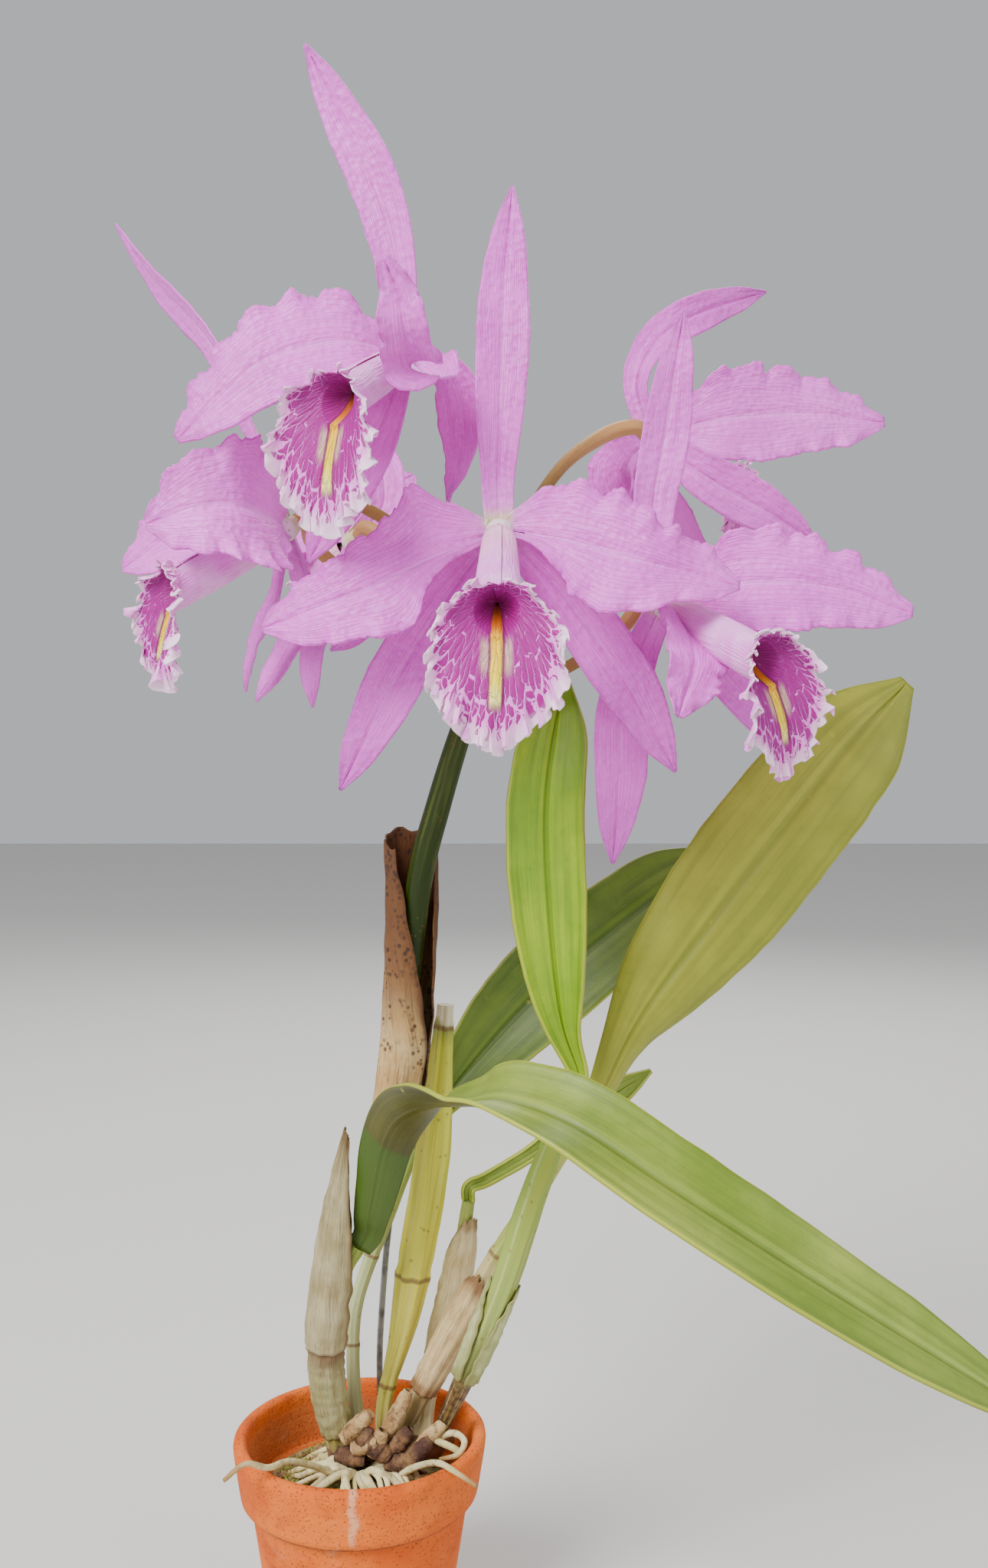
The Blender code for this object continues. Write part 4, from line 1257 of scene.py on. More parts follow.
def bloom_list() -> list[Bloom]:
    """The six blooms, at their places in the picture.

    Returns:
        The blooms, the front one first.
    """
    return [
        Bloom("front", (652, 694, 62), (
            sepal(((650, 620, 61), (655, 480, 58), (660, 350, 55), (669, 243, 54)), 7.6, (0, -1, 0.1)),
            petal(((560, 732, 68), (470, 772, 71), (343, 820, 64)), 20, (0.1, -1, 0.1), (-0.1, -1, 0.3),
                  outlines=(LEFT_UPPER, LEFT_LOWER)),
            petal(((745, 708, 69), (850, 735, 74), (966, 766, 68)), 18.5, (-0.1, -1, 0.1), (0.1, -1, 0.3),
                  outlines=(RIGHT_LOWER, RIGHT_UPPER)),
            sepal(((592, 768, 58), (520, 880, 56), (444, 1032, 46)), 8.2, (0.1, -1, 0.1)),
            sepal(((735, 776, 58), (816, 888, 58), (882, 1008, 50)), 8.6, (-0.1, -1, 0.1)),
        ), Lip((649, 800, 91), (646, 983, 90), (0, -1, 0.12)), ((650, 810, 33), (652, 762, 42)), 0.3, 1.7),
        Bloom("upper_left", (528, 468, 46), (
            sepal(((520, 350, 44), (488, 235, 40), (438, 135, 40), (398, 57, 42)), 7.6, (-0.3, -1, 0)),
            petal(((452, 444, 58), (340, 474, 66), (230, 574, 64)), 16.5, (-0.2, -1, 0.25), (-0.4, -1, 0.2)),
            petal(((562, 488, 58), (540, 482, 76), (528, 430, 88), (520, 385, 90), (500, 336, 92)), 8.5,
                  (0.2, -1, 0.4), (-0.3, -1, 0.1), roll=(20, 40, 20), waves=5, outlines=(CURLED, None)),
            sepal(((494, 560, 46), (452, 640, 46), (402, 735, 46)), 8.4, (-0.2, -1, 0)),
            sepal(((590, 498, 40), (604, 580, 36), (584, 655, 34)), 7.4, (0.3, -1, 0.1), (-0.9, -0.5, 0.2)),
        ), Lip((440, 524, 80), (398, 690, 84), (-0.6, -0.8, 0.05), cup=4.0),
            ((640, 800, 34), (560, 722, 20), (505, 680, 18), (452, 644, 20), (446, 590, 22), (486, 520, 30)),
            0.4, 4.1),
        Bloom("left", (374, 690, 36), (
            sepal(((334, 570, 32), (276, 450, 24), (200, 365, 12), (151, 293, 4)), 5.6, (-0.85, -0.5, -0.3)),
            petal(((330, 664, 57), (268, 660, 66), (190, 684, 63)), 19, (0.1, -1, 0.1), (-0.2, -1, 0.1),
                  roll=(35, 25, 10)),
            petal(((300, 690, 18), (226, 700, 6), (160, 742, -4)), 17, (-0.4, -1, 0.1), (-0.2, -0.9, 0.4),
                  roll=(30, 25, 10)),
            sepal(((362, 780, 32), (332, 845, 26), (320, 903, 24)), 6.0, (-0.9, -0.5, 0.2)),
            sepal(((404, 790, 20), (372, 855, 14), (334, 916, 12)), 7.0, (-0.5, -0.8, 0.5)),
        ), Lip((224, 772, 58), (212, 898, 54), (-0.85, -0.62, 0.1), 14, 6.5, cup=2.0),
            ((636, 838, 32), (560, 800, 14), (470, 760, 4), (410, 712, 14)), 0.5, 7.9),
        Bloom("back_left", (462, 706, -14), (
            sepal(((500, 660, -16), (498, 610, -22), (474, 560, -34)), 7.0, (0.3, -1, 0)),
            petal(((430, 694, -24), (395, 704, -36), (330, 722, -52)), 13, (-0.2, -0.9, 0.5)),
            petal(((480, 672, -30), (500, 640, -48), (540, 620, -64)), 14, (0.3, -0.8, 0.5)),
            sepal(((428, 800, -14), (408, 860, -12), (408, 924, -12)), 6.0, (-0.6, -0.8, 0)),
            sepal(((486, 760, -20), (470, 812, -26), (432, 850, -30)), 7.0, (-0.2, -1, 0.1)),
        ), Lip((418, 748, -32), (384, 812, -44), (-0.8, 0.3, 0.3), 12, 7),
            ((648, 762, 34), (580, 732, 8), (520, 712, -2)), 0.5, 11.3),
        Bloom("right", (868, 790, 44), (
            sepal(((852, 680, 40), (870, 560, 38), (893, 405, 36)), 7.2, (0.1, -1, 0)),
            petal(((965, 762, 52), (1078, 765, 52), (1192, 800, 46)), 15.5, (0.1, -1, 0.2), (0.2, -1, 0.3)),
            petal(((894, 812, 58), (908, 862, 70), (886, 936, 76)), 12, (0.6, -0.7, 0.3), (0.3, -0.9, 0.2),
                  roll=(30, 20, 10), waves=5),
            sepal(((816, 905, 40), (810, 1010, 38), (800, 1128, 36)), 8.0, (0, -1, 0)),
            sepal(((935, 868, 42), (985, 925, 42), (1030, 985, 40)), 7.2, (0.2, -1, 0.2)),
        ), Lip((1000, 866, 80), (1052, 1012, 80), (0.62, -0.78, 0.1), 15, cup=3.0),
            ((621, 908, 32), (690, 892, 34), (740, 872, 34), (805, 828, 34)), 0.35, 13.9),
        Bloom("upper_right", (852, 572, -8), (
            sepal(((832, 500, -8), (862, 440, -12), (925, 404, -20), (1000, 381, -30)), 6.6, (-0.6, -0.8, 0),
                  (-0.3, -0.8, -0.5)),
            petal(((950, 546, -4), (1055, 540, -10), (1154, 552, -20)), 16, (0.1, -1, 0.1), (0.1, -1, 0.1)),
            petal(((818, 612, -26), (846, 650, -40), (904, 672, -52)), 13, (-0.3, -1, 0.2)),
            sepal(((925, 625, 0), (990, 662, 2), (1066, 708, 0)), 8.0, (0.1, -1, -0.2)),
            sepal(((856, 632, -26), (890, 690, -40), (930, 740, -50)), 7.4, (0.3, -0.9, 0.2)),
        ), Lip((956, 634, -34), (982, 698, -40), (0.8, 0.35, 0.3), 12, 7),
            ((652, 748, 34), (690, 672, 26), (737, 606, 12), (790, 568, 0)), 0.4, 17.3),
    ]


@dataclass(frozen=True)
class Cane:
    """A cane: its line, its radii in mm, its joints and how strongly it is ribbed."""

    line: tuple[Spot, ...]
    radii: tuple[float, ...]
    joints: tuple[float, ...] = ()
    ribs: float = 0.05

    def top(self, aside: float, face: Vector) -> tuple[Vector, Vector]:
        """A seat just clear of the cane's top.

        Args:
            aside: millimetres off its axis.
            face: which way that is.

        Returns:
            The seat and the way the cane points there.
        """
        line = smooth_line(spots(*self.line), 2 * (len(self.line) - 1))
        way = (line[-1] - line[-2]).normalized()
        off = (face - way * face.dot(way)).normalized()
        return line[-1] + way * SEAT_GAP * MM + off * aside * MM, way


GREEN_CANE = ((0.0, shade(150, 130, 84)), (0.2, shade(150, 156, 70)), (0.6, shade(164, 172, 70)),
              (1.0, shade(140, 160, 60)))
CANES = {
    "leading": Cane(((444, 1886, -4), (427, 1805, 0), (428, 1725, 5), (444, 1662, 9), (467, 1626, 10)),
                    (4.4, 4.2, 4.0, 3.6, 2.8), (0.3, 0.7)),
    "thin": Cane(((474, 1892, -6), (464, 1830, -12), (461, 1760, -16), (468, 1692, -17), (504, 1590, -19),
                  (541, 1498, -21)), (2.4, 2.2, 2.2, 2.6, 2.2), (0.32, 0.62)),
    "tall": Cane(((498, 1890, -6), (502, 1828, -11), (524, 1740, -11), (543, 1640, -11), (566, 1500, -11),
                  (582, 1312, -11)), (2.2, 2.8, 5.0, 5.5, 5.3, 4.0, 2.6), (0.13, 0.385, 0.95), 0.09),
    "papery": Cane(((552, 1890, -3), (558, 1830, -15), (574, 1760, -22), (598, 1660, -16), (612, 1568, -8)),
                   (2.8, 2.6, 2.8, 2.6, 2.0), (0.3,)),
    "leaning": Cane(((522, 1872, -8), (584, 1755, -4), (644, 1648, 0), (700, 1560, 2), (778, 1436, 4)),
                    (3.2, 3.2, 3.0, 2.4, 2.0), (0.24, 0.54), 0.06),
    "right": Cane(((566, 1886, -2), (614, 1782, 9), (660, 1672, 13), (694, 1568, 14), (748, 1424, 16)),
                  (1.8, 3.2, 4.0, 3.9, 2.2), (0.23,), 0.06),
    "cut_stub": Cane(((538, 1888, -4), (549, 1800, -17)), (2.0, 2.0), (0.7,)),
}
CANE_STOPS = {
    "tall": ((0.0, shade(142, 116, 74)), (0.1, shade(200, 192, 84)), (0.5, shade(232, 226, 70)),
             (0.9, shade(206, 210, 66)), (0.955, shade(150, 158, 70)), (0.97, shade(232, 222, 188))),
    "right": ((0.0, shade(84, 58, 40)), (0.2, shade(116, 84, 54)), (0.25, shade(150, 160, 92)),
              (0.6, shade(150, 172, 72)), (1.0, shade(118, 150, 40))),
    "leaning": ((0.0, shade(150, 122, 84)), (0.5, shade(196, 176, 126)), (0.56, shade(168, 176, 84)),
                (1.0, shade(180, 186, 96))),
    "papery": ((0.0, shade(176, 152, 112)), (0.5, shade(206, 194, 150)), (0.8, shade(170, 178, 100)),
               (1.0, shade(150, 166, 72))),
    "cut_stub": ((0.0, shade(150, 120, 80)), (0.6, shade(214, 200, 160)), (1.0, shade(120, 86, 56))),
    "thin": ((0.0, shade(180, 176, 132)), (0.5, shade(190, 200, 146)), (1.0, shade(140, 162, 80))),
}
LEAVES = {
    "leaf_centre": leaf(((733, 1330, 20), (718, 1190, 24), (714, 1040, 26), (736, 886, 22)), 12.5,
                        ((-0.1, -1, 0.1), (-0.1, -1, 0.1)), (80, 45, 25)),
    "leaf_right": leaf(((838, 1328, 10), (964, 1158, 12), (1092, 994, 8), (1184, 892, 2)), 20,
                       ((0.2, -1, 0), (0, -1, 0.1)), (-60, -20, -12)),
    "leaf_back": leaf(((592, 1420, -27), (690, 1310, -33), (800, 1215, -36), (935, 1112, -38)), 17,
                      ((-0.2, -1, 0.1), (-0.2, -1, 0.2))),
    "leaf_front": leaf(((484, 1590, 15), (493, 1545, 17), (503, 1500, 20), (522, 1464, 27), (560, 1443, 38),
                        (606, 1440, 50), (660, 1437, 60), (750, 1470, 72), (870, 1548, 82), (1000, 1632, 88),
                        (1120, 1708, 91), (1290, 1814, 94), (1380, 1872, 94)), 15.5,
                       ((0.1, 1, 0.1), (0.1, 1, 0), (0, 1, 0.15), (0.05, 0.25, 0.97), (0.1, -0.35, 0.93),
                        *((0.1, -0.45, 0.9),) * 6, *((0.15, -0.45, 0.9),) * 2), (18, 55, 25, 15, 12), FOLDED),
    "leaf_small": leaf(((640, 1538, -9), (700, 1502, -12), (775, 1448, -14), (850, 1398, -16)), 5.5,
                       ((-0.2, -1, 0.2), (-0.2, -1, 0.2)), (70, 60, 40), SMALL),
}
LEAF_SEATS = {"leaf_centre": ("right", 0), "leaf_right": ("leaning", 0), "leaf_back": ("thin", 0),
              "leaf_front": ("leading", 2.3), "leaf_small": ("papery", 0)}
LEAF_FINISHES = {
    "leaf_centre": (LeafFinish("leaf_fresh", shade(110, 152, 0), shade(154, 186, 0), shade(66, 112, 0)),),
    "leaf_right": (LeafFinish("leaf_olive", shade(132, 138, 20), shade(158, 160, 44), shade(100, 110, 12),
                              rough=0.42),),
    "leaf_back": (LeafFinish("leaf_grey_green", shade(74, 100, 20), shade(112, 136, 40), shade(44, 70, 14)),),
    "leaf_front": (LeafFinish("leaf_green", shade(106, 132, 26), shade(146, 164, 62), shade(74, 98, 14),
                              shaded_base_end=0.1),
                   LeafFinish("leaf_underside", shade(62, 62, 0), shade(86, 84, 6), shade(44, 46, 0),
                              rib=0.2, shaded_base_end=0.128)),
    "leaf_small": (LeafFinish("leaf_small_green", shade(108, 134, 24), shade(142, 160, 54),
                              shade(74, 98, 14)),),
}


@dataclass
class Foliage:
    """The leaves, each seated on the top of its cane."""

    thickness: float = 1.2
    faces: tuple[int, int] = (26, 160)
    names: tuple[str, ...] = tuple(LEAVES)

    def build(self) -> None:
        """Builds every leaf."""
        for k, name in enumerate(self.names):
            blade = LEAVES[name]
            cane, aside = LEAF_SEATS[name]
            base, way = CANES[cane].top(aside, SEAT_SIDE)
            paints = [finish.make() for finish in LEAF_FINISHES[name]]
            piece = Piece()
            across, along = self.faces
            piece.sheet(across, along, blade.place(along, base, way, 20.0 + 3 * k))
            piece.finish(name, "leaf", paints, [name], thick=self.thickness, back=len(paints) - 1)


@dataclass
class Canes:
    """The rhizome and the canes, ribbed and ringed at their joints."""

    sides: int = 40
    steps: int = 90
    stub_steps: int = 30
    dry_foot: tuple[float, float] = (0.18, 0.3)
    rhizome_radii: tuple[float, ...] = (3.4, 4.2, 4.4, 4.6, 4.0, 3.0)
    rhizome: tuple[Spot, ...] = ((430, 1896, -4), (462, 1890, -4), (496, 1892, -4), (524, 1902, 2),
                                 (552, 1892, 2), (584, 1876, -6))
    stubs: tuple[tuple[Spot, Spot, float, bool], ...] = (
        ((450, 1880, 2), (484, 1846, 4), 2.8, True), ((470, 1872, 5), (508, 1905, 7), 3.4, False),
        ((494, 1892, 2), (534, 1816, 1), 2.6, True), ((504, 1912, 6), (540, 1908, 8), 2.6, False),
        ((528, 1916, 8), (562, 1880, 7), 2.6, False), ((546, 1890, 5), (580, 1858, 3), 2.2, True),
        ((440, 1900, 2), (478, 1906, 5), 2.8, False), ((486, 1900, 6), (500, 1868, 6), 2.6, True),
        ((512, 1896, 5), (536, 1866, 5), 2.4, False), ((462, 1892, 5), (494, 1884, 8), 2.4, True))

    def build(self) -> None:
        """Builds the canes, then the knotted rhizome."""
        for name, cane in CANES.items():
            self.cane(name, cane)
        self.knots()

    def cane(self, name: str, cane: Cane) -> None:
        """Builds one cane.

        Args:
            name: the cane's name.
            cane: its line, thickness and joints.
        """
        steps = self.steps if len(cane.line) > 2 else self.stub_steps
        line = smooth_line(spots(*cane.line), steps)
        seed = float(len(name))

        def radius(u: float, t: float) -> float:
            """The ribbed and ringed radius.

            Args:
                u: from 0 to 1 round the cane.
                t: from 0 at its foot to 1 at its top.

            Returns:
                The radius in metres.
            """
            angle = 2 * math.pi * u
            size = eased(cane.radii, t)
            ribs = 1 + cane.ribs * math.sin(7 * angle + 2 * t)
            ribs += 0.4 * cane.ribs * math.sin(13 * angle - 3 * t)
            for joint in cane.joints:
                ribs += 0.08 * math.exp(-((t - joint) / 0.009) ** 2)
                ribs -= 0.06 * math.exp(-((t - joint - 0.025) / 0.014) ** 2)
            return size * (ribs + 0.05 * wander(seed, t * 12, u)) * MM

        piece = Piece()
        piece.rod(line, radius, self.sides)
        stops = CANE_STOPS.get(name, GREEN_CANE)
        blotch = self.dry_foot if name == "right" else (0.0, 0.0)
        paint = CaneFinish("cane_" + name, stops, rings=cane.joints, blotch=blotch).make()
        piece.tidy().finish("cane_" + name, "cane", [paint], ["canes"])

    def knots(self) -> None:
        """Builds the rhizome and the short ringed stubs of old shoots on it, cream and dark brown."""
        pale, dark = Piece(), Piece()

        def bark(u: float, t: float) -> float:
            """The rhizome's rough radius."""
            rough = 1 + 0.14 * wander(t * 14, u * 5) + 0.1 * math.sin(46 * t)
            return eased(self.rhizome_radii, t) * MM * rough

        dark.rod(smooth_line(spots(*self.rhizome), 60), bark, 30)
        for k, (start, end, size, cream) in enumerate(self.stubs):
            line = smooth_line([*spots(start), *spots(end)], 36)

            def ringed(u: float, t: float, size: float = size, seed: float = 1.7 * k) -> float:
                """A stub's radius, stepped at its scales.

                Args:
                    u: from 0 to 1 round the stub.
                    t: from 0 at its foot to 1 at its tip.
                    size: its thickness in mm.
                    seed: a number that makes its scales its own.

                Returns:
                    The radius in metres.
                """
                swell = 0.35 + 0.65 * math.sin(math.pi * min(1.0, 0.18 + 0.78 * t)) ** 0.6
                scale = 0.12 * ((4.3 * t + 0.06 * wander(seed, u * 3)) % 1.0)
                return size * MM * (swell + scale + 0.07 * wander(seed, t * 8, u * 4))

            (pale if cream else dark).rod(line, ringed, 26)
        cream_paint = EarthFinish("rhizome_cream", shade(150, 112, 66), shade(206, 176, 124),
                                  shade(74, 44, 26), 340).make()
        dark_paint = EarthFinish("rhizome_bark", shade(72, 44, 36), shade(136, 100, 66),
                                 shade(34, 20, 18), 340).make()
        dark.tidy().finish("rhizome", "cane", [dark_paint], ["canes"])
        pale.tidy().finish("shoot_stubs", "cane", [cream_paint], ["canes"])


@dataclass(frozen=True)
class Sheath:
    """A dry sheath rolled round a line: radii in mm, how far round it reaches, and its open side."""

    line: tuple[Spot, ...]
    radii: tuple[float, ...]
    reach: tuple[float, ...]
    faces: tuple[Spot, ...]
    taper: float = 0.0
    cane: str | None = None
    span: tuple[float, float] = (0.0, 1.0)
    steps: int = 70

    def middle(self) -> list[Vector]:
        """The line it is rolled round.

        Returns:
            Its points in metres, one more than the sheath has steps.
        """
        points = spots(*self.line)
        if self.cane:
            whole = smooth_line(spots(*CANES[self.cane].line), 60)
            points = whole[round(60 * self.span[0]):round(60 * self.span[1]) + 1:4] + points
        return smooth_line(points, self.steps)

    def place(self, seed: float) -> Place:
        """The sheath's crinkled surface.

        Args:
            seed: a number that makes its crinkles its own.

        Returns:
            The surface rule for v round it and t along.
        """
        line = self.middle()
        faces = [Vector(face) for face in self.faces] * (2 if len(self.faces) == 1 else 1)

        def rule(v: float, t: float) -> Vector:
            """The point at one place on the sheath.

            Args:
                v: from -1 to 1 round it.
                t: from 0 at its foot to 1 at its top.

            Returns:
                The point in metres.
            """
            i = round(t * self.steps)
            open_side = between(faces, t)
            tangent = tangent_at(line, i)
            out = (open_side - tangent * open_side.dot(tangent)).normalized()
            side = tangent.cross(out)
            turn = math.radians(between(self.reach, t)) * v * (1 + 0.05 * wander(seed, t * 9, v))
            size = eased(self.radii, t) + 0.35 * wander(seed + 3 * v, t * 14)
            size += 0.25 * math.sin(9 * turn + 3 * t)
            size += 0.9 * abs(v) ** 9 * wander(seed + 9, t * 11, v)
            rise = self.taper * (0.5 - abs(v)) * t + t ** 6 * 2.2 * wander(seed + v * 4, 7.0)
            reach = side * math.sin(turn) * size - out * math.cos(turn) * size
            return line[i] + (reach + tangent * rise) * MM

        return rule


@dataclass
class DrySheaths:
    """The flower sheath and the dry sheaths of the canes."""

    thickness: float = 0.5
    across: int = 44
    shapes: dict[str, Sheath] = field(default_factory=lambda: {
        "flower_sheath": Sheath(
            ((495, 1540, 5), (508, 1492, 4), (524, 1400, 2), (534, 1300, 3), (537, 1180, 5), (536, 1094, 7)),
            (4.4, 7.2, 7.8, 7.8, 8.1, 8.1), (168, 168, 170, 160, 142, 128),
            ((1, -0.1, 0), (1, -0.1, 0), (0.96, -0.27, 0), (0.72, -0.69, 0), (0.5, -0.87, 0),
             (0.34, -0.94, 0)), 5, steps=120),
        "leading_cane_sheath": Sheath(
            ((450, 1570, 12), (458, 1480, 13)), (6.4, 6.8, 6.9, 6.4, 4.6, 1.8),
            (160, 152, 140, 116, 98, 80), ((1, 0.1, 0),), 4, "leading", (0.5, 0.68)),
        "leading_cane_sheath_low": Sheath(
            (), (4.6, 5.2, 5.5, 5.7), (172, 172, 170, 160), ((0.9, 0.5, 0),), 1.5,
            "leading", (0.06, 0.56), 50),
        "right_cane_sheath": Sheath(
            (), (4.3, 4.8, 4.9, 4.8), (168, 165, 150, 112), ((-0.1, -1, 0.2),), 2, "right", (0.24, 0.53), 50),
        "papery_cane_sheath": Sheath(
            (), (4.4, 5.0, 4.8, 3.4), (165, 160, 150, 60), ((-0.5, 0.8, 0.2),), 3,
            "papery", (0.34, 0.96), 50),
        "leaning_cane_sheath": Sheath(
            (), (4.3, 4.8, 5.0, 4.4), (168, 165, 150, 60), ((0.6, 0.6, 0.4),), 3,
            "leaning", (0.14, 0.52), 50),
    })
    finishes: dict[str, PaperFinish] = field(default_factory=lambda: {
        "flower_sheath": PaperFinish("spotted_sheath", shade(190, 150, 92), shade(214, 184, 134),
                                     spotted=True, stain_high=(0.52, 0.8), brown=shade(70, 34, 8)),
        "leading_cane_sheath": PaperFinish("grey_sheath", shade(156, 142, 96), shade(188, 176, 134),
                                           brown=shade(120, 88, 48), stain_high=(0.86, 0.98)),
        "leading_cane_sheath_low": PaperFinish("old_sheath", shade(156, 150, 92), shade(188, 184, 134),
                                               stain_high=(0.6, 1.0)),
        "right_cane_sheath": PaperFinish("green_sheath", shade(170, 178, 112), shade(206, 206, 152),
                                         brown=shade(150, 146, 84), stain_low=(0, 0.16)),
        "papery_cane_sheath": PaperFinish("pale_sheath", shade(222, 200, 142), shade(240, 224, 176),
                                          brown=shade(170, 136, 92)),
        "leaning_cane_sheath": PaperFinish("tan_sheath", shade(200, 166, 108), shade(226, 198, 146),
                                           brown=shade(142, 98, 60), stain_low=(0, 0.2),
                                           stain_high=(0.84, 0.96)),
    })
    extra: frozenset[str] = frozenset({"leading_cane_sheath_low"})

    def build(self) -> None:
        """Builds every sheath."""
        for k, (name, shape) in enumerate(self.shapes.items()):
            piece = Piece()
            piece.sheet(self.across, shape.steps, shape.place(31.0 + 4 * k))
            replaced = [] if name in self.extra else [name]
            piece.finish(name, "dry_sheath", [self.finishes[name].make()], replaced, thick=self.thickness)


@dataclass
class FlowerStem:
    """The flower stem, a pedicel to each bloom, and the small bracts where they part."""

    line: tuple[Spot, ...] = ((503, 1510, 4), (521, 1380, 2), (535, 1260, 4), (549, 1143, 11),
                              (573, 1050, 20), (601, 958, 28), (636, 860, 33), (650, 780, 34), (654, 730, 34))
    radii: tuple[float, ...] = (1.7, 2.6, 3.2, 3.6, 3.9, 4.0, 3.8, 3.4, 3.0, 2.4)
    sides: int = 28
    steps: int = 140
    seat: float = -1.2
    pedicel_radius: float = 2.1
    pedicel_spread: tuple[float, ...] = (1.15, 0.95, 0.9, 0.92, 1.0, 1.15, 1.15)
    pedicel_sides: int = 24
    pedicel_steps: int = 60
    bract_faces: tuple[int, int] = (12, 12)

    def build(self, blooms: Sequence[Bloom]) -> None:
        """Builds the stem, the pedicels and the bracts.

        Args:
            blooms: the flowers on it.
        """
        base, way = CANES["leading"].top(self.seat, SEAT_SIDE)
        line = smooth_line([base, base + way * 4 * MM] + spots(*self.line), self.steps)
        piece = Piece()
        piece.rod(line, lambda u, t: eased(self.radii, t) * MM * (1 + 0.02 * math.sin(12.6 * u + 9 * t)),
                  self.sides)
        stem = StemFinish("stem_green", shade(24, 38, 0), shade(38, 54, 0)).make()
        piece.tidy().finish("flower_stem", "stem", [stem], ["flower_stem"])
        stalk = StemFinish("pedicel_olive", shade(104, 96, 24), shade(184, 136, 84)).make()
        for bloom in blooms:
            self.pedicel(bloom, stalk)
        self.bracts(blooms)

    def pedicel(self, bloom: Bloom, paint: bpy.types.Material) -> None:
        """Builds the ribbed stalk of one bloom.

        Args:
            bloom: the flower on it.
            paint: the stalk's material.
        """
        line = smooth_line(bloom.pedicel_line(), self.pedicel_steps)

        def radius(u: float, t: float) -> float:
            """The ribbed radius."""
            ribs = 1 + 0.05 * math.sin(6 * 2 * math.pi * u + 3 * t) * min(1.0, 2 * t)
            return self.pedicel_radius * MM * eased(self.pedicel_spread, t) * ribs

        piece = Piece()
        piece.rod(line, radius, self.pedicel_sides)
        piece.tidy().finish("pedicel_" + bloom.name, "stem", [paint])

    def bracts(self, blooms: Sequence[Bloom]) -> None:
        """Builds a small dry bract under each pedicel.

        Args:
            blooms: the flowers on the pedicels.
        """
        piece = Piece()
        for k, bloom in enumerate(blooms):
            line = smooth_line(bloom.pedicel_line(), self.pedicel_steps)
            start, way = line[0], (line[6] - line[0]).normalized()
            out = (way + Vector((0, 0, 0.6))).normalized()
            side = out.cross(Vector((0, -1, 0))).normalized()
            face = side.cross(out)
            length = (6 + 2 * wander(k * 2.2, 1.0)) * MM

            def place(v: float, t: float) -> Vector:
                """The point at one place on the bract.

                Args:
                    v: from -1 at one side to 1 at the other.
                    t: from 0 at its base to 1 at its tip.

                Returns:
                    The point in metres.
                """
                width = 2.4 * MM * (1 - t) ** 0.6 + 0.05 * MM
                turn = v * math.radians(100) * (1 - 0.4 * t)
                ring = side * math.sin(turn) * width - face * math.cos(turn) * width
                return start + out * (2.5 * MM + length * t * (1 - 0.3 * abs(v))) + ring * (1 + 0.3 * t)

            piece.sheet(*self.bract_faces, place)
        paint = PaperFinish("bract_paper", shade(150, 142, 84), shade(188, 178, 120),
                            stain_high=(0.6, 0.95)).make()
        piece.finish("bracts", "stem", [paint], thick=0.3)


@dataclass
class SupportWire:
    """The zinc-coated wire that stands in the mix behind the flower stem."""

    line: tuple[Spot, ...] = ((498, 1912, -26), (497, 1850, -26), (496, 1760, -25), (503, 1650, -24),
                              (512, 1560, -24), (520, 1460, -23), (526, 1330, -20))
    radius: float = 1.05
    sides: int = 16
    steps: int = 60

    def build(self) -> None:
        """Builds the wire with rounded ends."""
        piece = Piece()
        line = smooth_line(spots(*self.line), self.steps)
        piece.rod(line, lambda u, t: self.radius * MM * min(1.0, 0.5 + 30 * min(t, 1 - t)), self.sides)
        piece.tidy().finish("support_wire", "zinc_wire", [WireFinish().make()], ["support_wire"])


